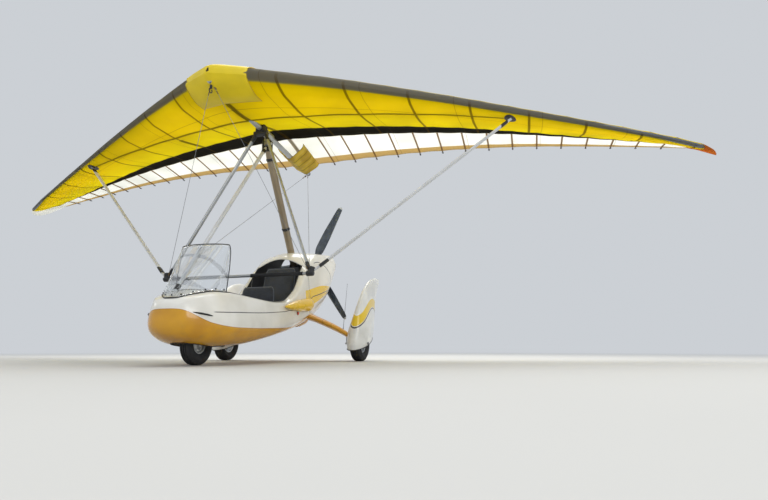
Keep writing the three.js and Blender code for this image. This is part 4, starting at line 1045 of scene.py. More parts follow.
rubber_trim = plain("rubber_trim", "1a1b1c", 0.6, grain=300.0)
trims = bmesh.new()
rim_line = []
for back in stations_between(COCKPIT[0][0], POD_TO, *COCKPIT_STOPS)[::-1]:
    x, up = hull_run(back)[1][-1]
    rim_line.append((x, back, up))
rim_line += [(x, COCKPIT[0][0], up) for x, up in hull_run(COCKPIT[0][0])[2][1:]]
tube(mirrored(rim_line), 0.0065, 10, trims)
well_line = [(x, WELL[0][0], up) for x, up in hull_run(WELL[0][0])[0][:-1]]
for back in stations_between(WELL[0][0], WELL[-1][0], *WELL_STOPS):
    x, up = hull_run(back)[1][0]
    well_line.append((x, back, up))
well_line += [(x, WELL[-1][0], up) for x, up in hull_run(WELL[-1][0])[0][-2::-1]]
tube(mirrored(well_line), 0.005, 8, trims)
keep(trims, "shell_edge_trims", "trike", "black_plastic", rubber_trim)

# Vents and drain: a dark slot in each side of the nose that lets air in, and a short drain pipe of
# black rubber in the belly.
VENT_RADII = (0.0015, 0.005, 0.007, 0.008, 0.008, 0.008, 0.008, 0.007, 0.005, 0.0015)
VENT_FROM, VENT_STEP = (-1.27, 0.400), (-0.015, 0.0028)  # back and up


def hull_side(back, up):
    """The place on the shell's left side at a height."""
    x = min(hull_run(back)[1], key=lambda point: abs(point[1] - up))[0]
    return Vector((x, hang.y + back, up))


openings = bmesh.new()
for _, side in sides:
    slot = [hull_side(*[start + step * i for start, step in zip(VENT_FROM, VENT_STEP)])
            for i in range(len(VENT_RADII))]
    tube([on_side(spot, side) for spot in slot], VENT_RADII, 12, openings)
tube(places(at, (-0.130, -0.260, 0.350), (-0.130, -0.260, 0.338)), [0.011, 0.009], 20, openings)
keep(openings, "nose_vents_and_drain", "trike", "black_plastic", rubber_trim)

# Windscreen: a clear acrylic sheet wrapped round the front of the cockpit, leaning back, with a
# thin rubber edge and small screws along its foot.
SCREEN = (
    # up, how far ahead the middle is, where the ends are, half width
    (0.540, 1.428, 1.050, 0.258), (0.800, 1.250, 1.020, 0.262), (1.045, 1.092, 0.985, 0.245),
)
SCREEN_TOP = SCREEN[-1][0]
SCREEN_ACROSS = 56
CORNER_DROP, CORNER_FROM = 0.060, 0.86


def on_screen(u, up):
    _, front_at, ends_at, half = between(SCREEN, up)
    turn = math.pi * u
    return at(half * math.cos(turn), ends_at + (front_at - ends_at) * math.sin(turn), up)


def deck_up(x, back):
    """Height of the shell's top at a place of the deck."""
    section = hull_section(back)
    widest = max(range(len(section)), key=lambda i: section[i][0])
    over = [p for p in section[widest:] if p[0] <= abs(x)]
    return over[0][1] if over else section[-1][1]


def screen_foot(u):
    """Height at which the screen meets the deck, found by halving."""
    low, high = SCREEN[0][0], 0.700
    for _ in range(12):
        middle = (low + high) / 2
        spot = on_screen(u, middle)
        if middle > deck_up(spot.x, spot.y - hang.y):
            high = middle
        else:
            low = middle
    return high + 0.002


screen_feet = [screen_foot(u) for u in steps(SCREEN_ACROSS)]


def screen_place(u, v):
    foot = screen_feet[round(u * SCREEN_ACROSS)]
    corner = CORNER_DROP * (max(0.0, abs(2 * u - 1) - CORNER_FROM) / (1 - CORNER_FROM)) ** 2
    return on_screen(u, foot + (SCREEN_TOP - corner - foot) * v)


look = Finish("screen_acrylic")
smears = look.plus(look.times(look.noise(6.0, 6.0), 0.05), 0.01)
tint = look.mix(look.noise(2.0), "dfeaf0", "f4f8fa")
screen_look = look.done(look.shader(tint, smears, IOR=1.49, Transmission_Weight=1.0, Alpha=0.42))
keep(patch(SCREEN_ACROSS, 20, screen_place), "windscreen_sheet", "trike", "screen", screen_look,
     stands_for=["windscreen"], wall=0.003, sharp=60)
edging = bmesh.new()
for v, radius in ((1.0, 0.0045), (0.0, 0.0055)):
    tube([screen_place(u, v) for u in steps(SCREEN_ACROSS)], radius, 8, edging)
for u in (0.0, 1.0):
    tube([screen_place(u, v) for v in steps(16)], 0.0045, 8, edging)
keep(edging, "windscreen_edge", "trike", "black_plastic", rubber_trim)
screws = bmesh.new()
for i in range(11):
    spot = screen_place((2 + 5.2 * i) / SCREEN_ACROSS, 0.05)
    outward = Vector((spot.x, -0.5, 0)).normalized()
    tube([spot + outward * 0.001, spot + outward * 0.006], [0.0075, 0.005], 12, screws)
keep(screws, "windscreen_screws", "trike", "steel", dark_look)

# Side outlets: yellow cones on the cowl's sides that open backwards, with a dark mesh inside the mouth.
OUTLET = (
    # back, up, radius
    (-0.175, 0.560, 0.010), (-0.150, 0.564, 0.018), (-0.020, 0.578, 0.042), (0.170, 0.600, 0.064),
    (0.350, 0.622, 0.074),
)
OUTLET_LEFT = 0.402
MESH_BACK, MESH_UP, MESH_RADIUS, MESH_GAP = 0.334, 0.620, 0.066, 0.018
yellow_look = plain("gel_yellow", "f0c41a", 0.28, grain=160.0, relief=0.0001, shift=0.04,
                    Coat_Weight=0.5)
mouth_look = plain("duct_dark", "241d18", 0.9, grain=220.0, relief=0.002)
for word, side in sides:
    def outlet_ring(back, grow=0.0):
        _, up, radius = between(OUTLET, back)
        return [at(side * (OUTLET_LEFT + (radius + grow) * math.cos(a)), -back,
                   up + (radius + grow) * math.sin(a)) for a in turns(32)]

    cone_backs = [-0.175, -0.172, -0.166] + [-0.150 + 0.5 * t for t in steps(14)]
    cone = loft([outlet_ring(back) for back in cone_backs], ends=(True, False))
    keep(cone, "side_outlet_cone_" + word, "trike", "shell_yellow", yellow_look,
         stands_for=["side_outlet_" + word], wall=0.004)
    # a dark disc closes the duct behind the mesh: painted shade for the duct's inside
    inside = loft([outlet_ring(back, -0.005) for back in (0.325, 0.330)])
    for i in range(-3, 4):
        x = MESH_GAP * i
        reach = math.sqrt(MESH_RADIUS**2 - x**2)
        for wire in (((-reach, x), (reach, x)), ((x, -reach), (x, reach))):
            tube([at(side * (OUTLET_LEFT + a), -MESH_BACK, MESH_UP + b) for a, b in wire],
                 0.0012, 5, inside)
    keep(inside, "side_outlet_mesh_" + word, "trike", "black_plastic", mouth_look)

# Radiator scoop: an amber glass-fibre duct faired into the belly, with the engine's finned
# radiator fixed behind its mouth.
SCOOP = (
    # back, half width, low, high
    (0.490, 0.128, 0.436, 0.470), (0.650, 0.150, 0.392, 0.520), (0.840, 0.165, 0.428, 0.560),
    (1.000, 0.150, 0.508, 0.620),
)
SCOOP_FROM, SCOOP_TO = 0.655, 1.000
SCOOP_ROUND = 0.036


def scoop_ring(back):
    _, half, low, high = between(SCOOP, back)
    edge = [(half, high), (half, low + 0.05)]
    edge += [(half - SCOOP_ROUND * (1 - math.cos(a)), low + SCOOP_ROUND * (1 - math.sin(a)))
             for a in turns(24)[:7]]
    return [at(x, -back, up) for x, up in edge + [(-x, up) for x, up in reversed(edge)]]


amber_look = plain("gel_amber", "d1930a", 0.3, grain=160.0, relief=0.0001, shift=0.05, Coat_Weight=0.5)
scoop_backs = [SCOOP_FROM + (SCOOP_TO - SCOOP_FROM) * t for t in steps(14)]
scoop = loft([scoop_ring(back) for back in scoop_backs], ends=(False, True))
keep(scoop, "radiator_scoop_duct", "trike", "shell_yellow", amber_look,
     stands_for=["radiator_scoop"], wall=0.005)
core = bmesh.new()
for i in range(24):
    x = 0.012 * i - 0.138
    tube(places(at, (x, -0.700, 0.405), (x, -0.690, 0.520)), 0.0022, 5, core)
for i in range(5):
    pin(at(0, -0.705, 0.412 + 0.024 * i), (0.140, 0, 0), 0.0035, 8, core)
block(core, at(0, -0.722, 0.462), (0.28, 0.012, 0.125))
keep(core, "radiator_core", "trike", "black_plastic", mouth_look)

# Main legs: amber glass-fibre fairings over the spring legs, with two panel joints, a dark
# inspection slot and a bare alloy stub axle inside the spat.
LEG = (
    # left, leading edge fore and up, trailing edge fore and up, thickness
    (0.200, -0.330, 0.575, -0.735, 0.545, 0.076), (0.400, -0.416, 0.500, -0.800, 0.440, 0.076),
    (0.720, -0.640, 0.330, -0.955, 0.255, 0.068), (0.774, -0.674, 0.276, -0.968, 0.212, 0.065),
)
LEG_FROM, LEG_TO = 0.330, 0.774
LEG_SWELL, SWELL_TO, SWELL_RUN = 0.25, 0.42, 0.09
WHEEL_FORE, WHEEL_UP, HALF_TRACK = -0.770, 0.200, 0.873


def foil_ring(lead, trail, half, across, around=44, edge=0.04):
    """An aerofoil section between two edges, as thick as twice half, as a ring of points."""
    ring = []
    for a in turns(around):
        share = (1 - math.cos(a)) / 2
        thick = arch_shape(share) + edge * share
        ring.append(lead.lerp(trail, share) + math.copysign(half * thick, math.sin(a)) * across)
    return ring


look = Finish("leg_paint")
x, y, _ = look.point()
out = look.calc("ABSOLUTE", x)
panel_joints = look.most(look.line(out, 0.520, 0.0022), look.line(out, 0.600, 0.0022))
slot_mark = look.times(look.line(look.plus(y, look.times(out, -0.62)), 0.300, 0.010),
                       look.line(out, 0.665, 0.045))
marks = look.most(look.times(panel_joints, 0.7), slot_mark)
colour = look.mix(marks, look.mix(look.patches(4.0), "c58a10", "dda21a"), "3a2a10")
grain = look.bump(look.noise(150.0), 0.0002)
leg_look = look.done(look.shader(colour, 0.32, Coat_Weight=0.4, Normal=grain))
for word, side in sides:
    rings = []
    for t in steps(24):
        left = LEG_FROM + (LEG_TO - LEG_FROM) * t
        _, lead_fore, lead_up, trail_fore, trail_up, thick = between(LEG, left)
        swell = 1 + LEG_SWELL * smooth((SWELL_TO - left) / SWELL_RUN)
        edges = places(at, (side * left, lead_fore, lead_up), (side * left, trail_fore, trail_up))
        rings.append(foil_ring(*edges, thick / 2 * swell, Vector((0, 0, 1))))
    keep(loft(rings), "leg_fairing_" + word, "trike", "shell_yellow", leg_look,
         stands_for=["leg_" + word], sharp=50)
    axle = tube(places(at, (side * 0.700, WHEEL_FORE, WHEEL_UP),
                       (side * (HALF_TRACK + 0.074), WHEEL_FORE, WHEEL_UP)), 0.0115, 24)
    tube(places(at, (side * 0.722, WHEEL_FORE, WHEEL_UP + 0.09),
                (side * 0.726, WHEEL_FORE, WHEEL_UP - 0.006)), 0.017, 20, axle)
    keep(axle, "main_axle_" + word, "trike", "steel", alloy_look, round_off=0.002)

# Spats: white glass-fibre wheel fairings that sweep up to a rounded rear fin, with a yellow band and a
# dark line across the top, a hole for the tyre valve, and an inside lined in dark grey, which is painted
# shade for the dark hollow round the tyre.
SPAT = (
    # height, leading edge fore and up, trailing edge fore and up, half width
    (0, 0.250, -0.080, -0.456, 0.090, 0.104), (1, 0.258, 0.000, -0.462, 0.150, 0.118),
    (2, 0.246, 0.120, -0.464, 0.230, 0.118), (3, 0.226, 0.230, -0.462, 0.320, 0.098),
    (4, 0.198, 0.370, -0.455, 0.385, 0.068), (5, 0.145, 0.500, -0.416, 0.500, 0.044),
    (6, 0.055, 0.620, -0.440, 0.600, 0.033), (7, -0.090, 0.725, -0.472, 0.690, 0.024),
    (8, -0.270, 0.784, -0.505, 0.790, 0.010), (8.4, -0.350, 0.797, -0.500, 0.799, 0.004),
)
SPAT_LEAN, SPAT_WALL, SPAT_TAIL = 0.1, 0.003, 0.0046
VALVE_HOLE_OUT, VALVE_HOLE_FORE = 0.118, 0.05


def spat_ring(height, side):
    _, lead_fore, lead_up, trail_fore, trail_up, half = between(SPAT, height)
    edges = [at(side * (HALF_TRACK + SPAT_LEAN * up), WHEEL_FORE + fore, WHEEL_UP + up)
             for fore, up in ((lead_fore, lead_up), (trail_fore, trail_up))]
    return foil_ring(*edges, half, Vector((side, 0, 0)), edge=max(0.04, SPAT_TAIL / half))


def spat_paint():
    look = Finish("spat_paint")
    _, y, z = look.point()
    fore = look.minus(look.minus(hang.y, y), WHEEL_FORE)
    up = look.minus(z, WHEEL_UP)
    colour = look.mix(look.patches(4.0), "d4d4d0", "e9e9e5")
    # the band's lower edge falls to the rear, and its upper edge bends with it
    ahead = look.plus(fore, 0.18)
    line_at = look.plus(look.ramp(fore, -0.45, 0.15, 0.46, 0.36), look.times(ahead, ahead, -1.1))
    over = look.minus(up, line_at)
    band = look.times(look.step(over, 0.012, 0.016), look.step(over, 0.115, 0.111))
    colour = look.mix(band, colour, "e8c41c")
    colour = look.mix(look.line(up, line_at, 0.009), colour, "2f2d28")
    dust = look.times(look.step(look.noise(11.0, 6.0), 0.45, 0.75), look.step(up, 0.25, -0.08))
    colour = look.mix(look.times(dust, 0.4), colour, "8a8478")
    grain = look.bump(look.noise(150.0), 0.0002)
    return look.done(look.shader(colour, 0.3, Coat_Weight=0.4, Normal=grain))


spat_look = spat_paint()
for word, side in sides:
    # the spat's dark grey liner is painted shade for the dark hollow round the tyre
    shell = loft([spat_ring(SPAT[-1][0] * t, side) for t in steps(44)], ends=(False, True))
    keep(shell, "spat_shell_" + word, "trike", "shell_cream", spat_look, liner_look,
         stands_for=["spat_" + word], wall=SPAT_WALL, sharp=50)
    mouth = spat_ring(0.0, side)
    trim = tube(mouth + mouth[:1], 0.004, 8)
    hole = at(side * (HALF_TRACK + VALVE_HOLE_OUT), WHEEL_FORE + VALVE_HOLE_FORE, WHEEL_UP)
    tube([hole - Vector((0.004 * side, 0, 0)), hole + Vector((0.0015 * side, 0, 0))], 0.016, 20, trim)
    keep(trim, "spat_trim_" + word, "trike", "black_plastic", rubber_trim)

# Wheels: rubber tyres with three grooves and a bead line, on alloy rims with a ring of bolts. The
# main wheels have a brake disc on the inner side, and a caliper over its rear edge.
MAIN_TYRE = (0.200, 0.068, 0.104)  # radius, half width, radius of the rim
NOSE_TYRE = (0.180, 0.055, 0.084)
MAIN_BORE, NOSE_BORE = 0.0124, 0.0094
NOSE_FORE, NOSE_UP = 1.040, 0.180
GROOVE, GROOVE_DEPTH, CROWN, TREAD = 0.0045, 0.007, 0.004, 0.62
DISC_BORE, DISC_RADIUS, DISC_THICK = 0.036, 0.078, 0.004
BOLT_REACH = 0.055
RIM = (
    # radius, share of the half width
    (0.026, 0.80), (0.031, 0.74), (0.034, 0.40), (0.040, 0.30),
)
RIM_EDGE = ((-0.024, 0.24), (-0.015, 0.30), (-0.011, 0.50), (-0.004, 0.56), (0.0, 0.555))


def spun(profile, centre):
    """A line of (radius, side) points spun about a sideways axis through centre into a ring."""
    bm = bmesh.new()
    verts = [bm.verts.new(centre + Vector((across, 0, radius))) for radius, across in profile]
    edges = [bm.edges.new(pair) for pair in zip(verts, verts[1:])]
    bmesh.ops.spin(bm, geom=verts + edges, cent=centre, axis=(1, 0, 0), angle=2 * math.pi, steps=64,
                   use_merge=True)
    return bm


def closed(half_line, middle=()):
    """A wheel's profile: one side, what lies between, the other side mirrored, and back to the start."""
    line = half_line + list(middle) + [(r, -x) for r, x in reversed(half_line)]
    return line + line[:1]


def tyre_profile(radius, half, rim):
    waist = (rim + radius) / 2
    side_line = [(rim, 0.56), (rim + 0.010, 0.60), (rim + 0.016, 0.74), (rim + 0.024, 0.78),
                 (waist, 0.985), (waist + 0.012, 0.99), (radius - 0.030, 0.93), (radius - 0.016, 0.84),
                 (radius - 0.006, 0.72), (radius - 0.0022, TREAD)]
    top = []
    for share in (0.36, 0.0, -0.36):
        x = share * half
        crown = radius - CROWN * (share / TREAD) ** 2
        top += [(crown, x + GROOVE), (radius - GROOVE_DEPTH, x + GROOVE * 0.6),
                (radius - GROOVE_DEPTH, x - GROOVE * 0.6), (crown, x - GROOVE)]
    return closed([(r, share * half) for r, share in side_line], top)


def rim_profile(half, rim, bore):
    line = [(bore, RIM[0][1]), *RIM] + [(rim - 0.0004 + r, share) for r, share in RIM_EDGE]
    return closed([(r, share * half) for r, share in line])


def tyre_rubber():
    look = Finish("tyre_rubber")
    colour = look.mix(look.step(look.noise(9.0, 5.0), 0.35, 0.7), "151617", "26272a")
    dust = look.step(look.noise(28.0, 5.0), 0.5, 0.75)
    colour = look.mix(look.times(dust, 0.22), colour, "6b655a")
    return look.done(look.shader(colour, 0.78, Normal=look.bump(look.noise(240.0), 0.0006)))


tyre_look = tyre_rubber()
rim_look = plain("rim_alloy", "c9cccd", 0.32, grain=260.0, relief=0.0002, Metallic=0.85)
disc_look = plain("brake_steel", "85888a", 0.3, grain=400.0, relief=0.0003, Metallic=0.95)


def wheel(body, centre, tyre, bore, brake_side=0):
    """A tyre, its rim with bolts and a valve, and a brake disc on one side."""
    _, half, rim = tyre
    keep(spun(tyre_profile(*tyre), centre), body + "_tyre_rubber", body, "tyre_rubber", tyre_look,
         stands_for=[body.replace("wheel", "tyre")], sharp=45)
    alloy = spun(rim_profile(half, rim, bore), centre)
    for a in turns(6):
        spoke = Vector((0, math.cos(a), math.sin(a)))
        for sign in (1, -1):
            bolt = centre + spoke * BOLT_REACH + Vector((sign * half * 0.27, 0, 0))
            tube([bolt, bolt + Vector((sign * 0.010, 0, 0))], 0.0065, 6, alloy)
    valve = centre + Vector((half * 0.25, 0, rim - 0.020))
    tube([valve, valve + Vector((0.022, 0, -0.006))], 0.003, 8, alloy)
    keep(alloy, body + "_rim_alloy", body, "alloy", rim_look,
         stands_for=[body.replace("wheel", "rim")], sharp=35, round_off=0.0012)
    if brake_side:
        inner = brake_side * half * 0.60 - (DISC_THICK if brake_side < 0 else 0)
        profile = [(DISC_BORE, 0.0), (DISC_RADIUS, 0.0), (DISC_RADIUS, DISC_THICK),
                   (DISC_BORE, DISC_THICK)]
        disc = spun(profile + profile[:1], centre + Vector((inner, 0, 0)))
        keep(disc, body + "_brake_disc", body, "steel", disc_look)


for word, side in sides:
    wheel("main_wheel_" + word, at(side * HALF_TRACK, WHEEL_FORE, WHEEL_UP), MAIN_TYRE, MAIN_BORE, -side)
    caliper = bmesh.new()
    middle = at(side * (HALF_TRACK - 0.056), WHEEL_FORE - 0.084, WHEEL_UP + 0.030)
    block(caliper, middle, (0.022, 0.060, 0.036))
    keep(caliper, "brake_caliper_" + word, "trike", "steel", dark_look, round_off=0.006)
nose_middle = at(0, NOSE_FORE, NOSE_UP)
wheel("nose_wheel", nose_middle, NOSE_TYRE, NOSE_BORE)

# Nose fork: raked steel legs either side of the wheel, with a crown, the steering stem and a round
# foot bar with ribbed rubbers.
RAKE = math.radians(12)
CROWN_UP, FORK_HALF, BAR_BACK = 0.225, 0.074, 0.030
steer_up = Vector((0, math.sin(RAKE), math.cos(RAKE)))


def on_stem(up, left=0.0, back=0.0):
    """A place on the raked steering axis, from the wheel's middle up."""
    return nose_middle + steer_up * up + Vector((left, back, 0))


fork_look = plain("fork_paint", "35373a", 0.42, grain=200.0, relief=0.0003, Coat_Weight=0.2)
fork, pegs = bmesh.new(), bmesh.new()
for _, side in sides:
    left = side * FORK_HALF
    leg = [on_stem(-0.014, left), on_stem(CROWN_UP + 0.006, left)]
    tube(leg, 0.0155, 20, fork, flat=0.56, guide=(0, 1, 0))
    tube([on_stem(0, left * 0.92), on_stem(0, left * 1.16)], 0.016, 6, fork)
    stepped([(0.125 + 0.0055 * i, 0.0118 + 0.0014 * (i % 2)) for i in range(20)],
            lambda x: on_stem(CROWN_UP, side * x, BAR_BACK), 16, pegs)
block(fork, on_stem(CROWN_UP), (0.166, 0.044, 0.024), Matrix.Rotation(-RAKE, 4, "X"))
tube([on_stem(0.220), on_stem(0.385)], 0.0165, 24, fork)
pin(nose_middle, (0.084, 0, 0), 0.0088, 20, fork)
pin(on_stem(CROWN_UP, 0, BAR_BACK), (0.238, 0, 0), 0.0105, 20, fork)
keep(fork, "nose_fork_frame", "nose_fork", "steel", fork_look, stands_for=["nose_fork"], round_off=0.002)
keep(pegs, "foot_bar_rubbers", "nose_fork", "black_plastic", grip_look)

# Trike keel: a bent alloy pipe along the pod's floor, from the steering head, to which it is
# welded, back to the mast's foot.
KEEL_ROUTE = ((0.900, 0.395), (0.690, 0.240), (0.350, 0.262), (-0.150, 0.362), (-0.648, 0.478))


def rounded(points, bend=0.10):
    """A line whose inner corners are eased into short curves."""
    eased = [points[0]]
    for before, corner, after in zip(points, points[1:], points[2:]):
        start, end = [corner + (way - corner).normalized() * min(bend, (way - corner).length * 0.45)
                      for way in (before, after)]
        for t in steps(6):
            eased.append(start.lerp(corner, t).lerp(corner.lerp(end, t), t))
    return eased + [points[-1]]


keel_look = plain("keel_paint", "4b4e51", 0.4, grain=200.0, Coat_Weight=0.2)
route = [on_stem(0.306)] + [at(0, *spot) for spot in KEEL_ROUTE]
pipe = tube(rounded(route), 0.0195, 20, guide=(1, 0, 0))
tube([on_stem(0.262), on_stem(0.350)], 0.030, 28, pipe)
for up in (0.266, 0.342):
    tube([on_stem(up), on_stem(up + 0.006)], 0.033, 28, pipe)
keep(pipe, "trike_keel_pipe", "trike", "alloy", keel_look, stands_for=["trike_keel"], round_off=0.001)

# Seats: dark cloth cushions with stitched channels on a moulded black base, a piped edge, and grey
# lap straps with buckles. The rear seat is higher than the front one.
SEAT_PADS = (
    # label, path of the pad's middle, half width, half thickness, channels, replaced node
    ("pilot_cushion", ((0.488, 0.435), (0.30, 0.432), (0.105, 0.428)), 0.192, 0.034, 6, ["pilot_seat"]),
    ("pilot_back", ((0.060, 0.480), (0.052, 0.62), (0.046, 0.785)), 0.186, 0.028, 5, []),
    ("passenger_cushion", ((-0.052, 0.540), (-0.18, 0.550), (-0.300, 0.562)), 0.197, 0.034, 5,
     ["passenger_seat"]),
    ("passenger_back", ((-0.352, 0.610), (-0.40, 0.80), (-0.456, 1.060)), 0.192, 0.030, 7, []),
)
PATH_STEPS = 40
PUFF, UNDER_SIDE = 0.18, 0.55
STRAPS = ((0.150, 0.452), (-0.270, 0.585))
STRAP_HALF, STRAP_REACH, STRAP_AHEAD, STRAP_LIFT = 0.196, 0.166, 0.09, 0.024


def cushion(path, half, thick, channels):
    """A stuffed pad along a path of (fore, up) places, with cross channels, and its edge's line."""
    line = even(path, PATH_STEPS)

    def surface(sign):
        def place(u, v):
            i = min(int(v * (PATH_STEPS - 0.001)), PATH_STEPS - 1)
            start, end = places(at, (0, *line[i]), (0, *line[i + 1]))
            normal = (end - start).normalized().cross(Vector((1, 0, 0)))
            a, b = abs(2 * u - 1), abs(2 * v - 1)
            edge = (1 - a**6) ** 0.5 * (1 - b**10) ** 0.5
            puff = 1 - PUFF + PUFF * abs(math.sin(math.pi * channels * v)) ** 0.6
            height = thick * edge * (puff if sign > 0 else UNDER_SIDE)
            across = (2 * u - 1) * half * (1 - 0.16 * b**6)
            return start.lerp(end, v * PATH_STEPS - i) + Vector((across, 0, 0)) + normal * height * sign

        return place

    pad = patch(36, 80, surface(1))
    join(pad, patch(36, 80, surface(-1)))
    bmesh.ops.remove_doubles(pad, verts=pad.verts, dist=0.0005)
    around = [(t, 0.0) for t in steps(16)] + [(1.0, t) for t in steps(32)]
    around += [(1 - u, 1 - v) for u, v in around]
    return pad, [surface(1)(u, v) for u, v in around]


def seat_cloth():
    look = Finish("seat_cloth")
    flecks = look.step(look.noise(420.0, 1.0), 0.55, 0.65)
    colour = look.mix(look.patches(6.0), "26292e", "383c43")
    colour = look.mix(look.times(flecks, 0.25), colour, "6a7078")
    weave = look.plus(look.noise(520.0, 1.0, (1, 0.2, 1)), look.noise(520.0, 1.0, (0.2, 1, 1)))
    creases = look.times(look.noise(16.0, 4.0), 3.0)
    normal = look.bump(look.plus(weave, creases), 0.0012)
    return look.done(look.shader(colour, 0.88, Normal=normal, Sheen_Weight=0.4))


seat_look = seat_cloth()
piping = bmesh.new()
for label, path, half, thick, channels, nodes in SEAT_PADS:
    pad, edge_line = cushion(path, half, thick, channels)
    made = keep(pad, label, "trike", "seat_cloth", seat_look, stands_for=nodes, sharp=70)
    tube(edge_line + edge_line[:1], 0.0032, 6, piping)
keep(piping, "seat_piping", "trike", "seat_cloth", plain("seat_piping", "6d7278", 0.6, grain=500.0))

webbing, buckles = bmesh.new(), bmesh.new()
for fore, up in STRAPS:
    for _, side in sides:
        strap = [at(side * (STRAP_HALF - STRAP_REACH * t), fore + STRAP_AHEAD * t,
                    up + STRAP_LIFT * math.sin(math.pi * t) + 0.012) for t in steps(14)]
        tube(strap, 0.0016, 10, webbing, flat=14.0)
    block(buckles, at(0, fore + STRAP_AHEAD, up + 0.022), (0.066, 0.046, 0.014))
keep(webbing, "lap_straps", "trike", "seat_cloth",
     plain("belt_webbing", "4d5156", 0.75, grain=700.0, relief=0.0008))
keep(buckles, "strap_buckles", "trike", "steel", alloy_look, round_off=0.004)

seat_base = frame["nodes"]["seat_base"]
seat_base.data.materials.clear()
seat_base.data.materials.append(plain("seat_base_moulding", "232426", 0.6, grain=140.0, relief=0.0008))

# Instrument panel: a black board with bevelled edges, two rows of round instruments with glass
# faces and bezels, a radio, and a row of switches. None has lettering.
BOARD_FORE, DIAL_FORE = 1.2155, 1.2045
DIALS = (
    # left, up, radius
    (-0.20, 0.546, 0.034), (-0.11, 0.560, 0.038), (0.0, 0.566, 0.041), (0.11, 0.560, 0.038),
    (0.20, 0.546, 0.034), (-0.15, 0.478, 0.027), (0.15, 0.478, 0.027),
)
BEZEL, NEEDLE_DEPTH, MARK_DEPTH = 0.007, 0.0045, 0.0036


def board_place(u, v):
    up = 0.425 + 0.160 * v + 0.024 * math.sin(math.pi * u) * v
    return at((2 * u - 1) * (0.300 - 0.062 * v**1.5), BOARD_FORE, up)


keep(patch(40, 12, board_place), "instrument_board", "trike", "black_plastic",
     plain("panel_board", "1c1d1f", 0.55, grain=320.0, relief=0.0006), stands_for=["instrument_panel"],
     wall=0.010, round_off=0.002)
bezels, faces, needles = bmesh.new(), bmesh.new(), bmesh.new()
for x, up, radius in DIALS:
    def on_dial(reach, turn, depth):
        """A place of the dial, at an angle from the right."""
        return at(x + reach * math.cos(turn), DIAL_FORE - depth, up + reach * math.sin(turn))

    lens = radius - BEZEL
    bezel = ((radius, 0.0), (radius, BEZEL), (radius - 0.005, 0.009), (lens, 0.003), (lens, 0.0))
    loft([[on_dial(r, a, depth) for a in turns(36)] for r, depth in bezel], bezels, ends=(False, False))
    tube([on_dial(0, 0, -0.001), on_dial(0, 0, 0.003)], lens, 36, faces)
    tube([on_dial(0, 0, NEEDLE_DEPTH), on_dial(radius * 0.5, 1 + 9 * x, NEEDLE_DEPTH)],
         [0.0014, 0.0006], 5, needles)
    for k in range(12):
        turn = math.radians(240 - 25 * k)
        tube([on_dial(radius * share, turn, MARK_DEPTH) for share in (0.62, 0.74)], 0.0006, 4, needles)
for i in range(6):
    switch = at(-0.075 + 0.03 * i, DIAL_FORE, 0.500)
    tube([switch, switch + Vector((0, 0.010, 0.004))], 0.003, 8, needles)
block(bezels, at(0, 1.206, 0.457), (0.150, 0.014, 0.040))
keep(bezels, "instrument_bezels", "trike", "black_plastic", dark_look, round_off=0.0008)
keep(faces, "instrument_faces", "trike", "screen",
     plain("dial_face", "0d0e10", 0.12, grain=20.0, relief=0.0, Coat_Weight=1.0))
keep(needles, "instrument_needles", "trike", "steel", plain("dial_marks", "e8e6da", 0.5))

# Engine: an air and water cooled flat four behind the seats, in cast alloy, with two finned
# cylinders a side, plug leads, carburettors with filters, a gearbox for the propeller, and an
# exhaust with a rear silencer. A welded steel bed carries it and the mast's foot.
CRANKCASE = (
    # middle, size
    ((0, -0.995, 1.045), (0.150, 0.330, 0.180)), ((0, -0.995, 1.150), (0.100, 0.250, 0.070)),
    ((0, -1.000, 0.945), (0.120, 0.260, 0.070)),
)
CYLINDERS_FORE, CYLINDERS_UP = (-0.905, -1.075), 1.045
FINS, FIN_STEP, FIN_THICK = 9, 0.0105, 0.004
GEARBOX_UP, GEARBOX_BOLTS = 1.215, 0.072
GEARBOX = ((-1.140, 0.070), (-1.165, 0.082), (-1.255, 0.082), (-1.275, 0.060), (-1.286, 0.058))
HEAD = ((0.170, 0.058), (0.178, 0.062), (0.198, 0.060), (0.206, 0.050))
SILENCER = ((-0.150, 0.030), (-0.140, 0.052), (0.140, 0.052), (0.150, 0.030))
SILENCER_FORE, SILENCER_UP = -1.140, 0.800
CARB_FORE, CARB_UP = -0.995, 1.150
FILTER = ((0.0, 0.020), (0.004, 0.034), (0.060, 0.030), (0.064, 0.018))
BED_HALF, BED_CROSS_HALF = 0.070, 0.075
BED_SIDES = (
    # radius, places of (fore, up)
    (0.0135, ((-0.655, 0.540), (-0.690, 0.830), (-0.760, 0.885), (-1.070, 0.890))),
    (0.0115, ((-0.740, 0.560), (-1.055, 0.870))), (0.0135, ((-0.655, 0.545), (-1.070, 0.600))),
    (0.0125, ((-1.068, 0.605), (-1.068, 0.895))), (0.0135, ((-0.756, 0.885), (-0.756, 1.105))),
)
BED_CROSS = ((-0.690, 0.830), (-1.060, 0.890), (-0.756, 1.100), (-1.050, 0.605))
engine_look = plain("cast_crankcase", "55585b", 0.55, grain=180.0, relief=0.0010, Metallic=0.6)
fin_look = plain("cast_fins", "3b3d40", 0.5, grain=220.0, relief=0.0006, Metallic=0.6)
pipe_look = plain("exhaust_steel", "8c7a66", 0.38, grain=30.0, relief=0.0003, shift=0.15, Metallic=0.9)
filter_look = plain("filter_gauze", "5d2f22", 0.8, grain=600.0, relief=0.002)
crankcase = bmesh.new()
for middle, size in CRANKCASE:
    block(crankcase, at(*middle), size)
stepped(GEARBOX, lambda fore: at(0, fore, GEARBOX_UP), 40, crankcase, guide=(1, 0, 0))
for a in turns(8):
    bolt = at(GEARBOX_BOLTS * math.cos(a), -1.255, GEARBOX_UP + GEARBOX_BOLTS * math.sin(a))
    tube([bolt, bolt + Vector((0, 0.010, 0))], 0.0055, 6, crankcase)
keep(crankcase, "crankcase_and_gearbox", "trike", "engine", engine_look, stands_for=["engine_block"],
     round_off=0.006)
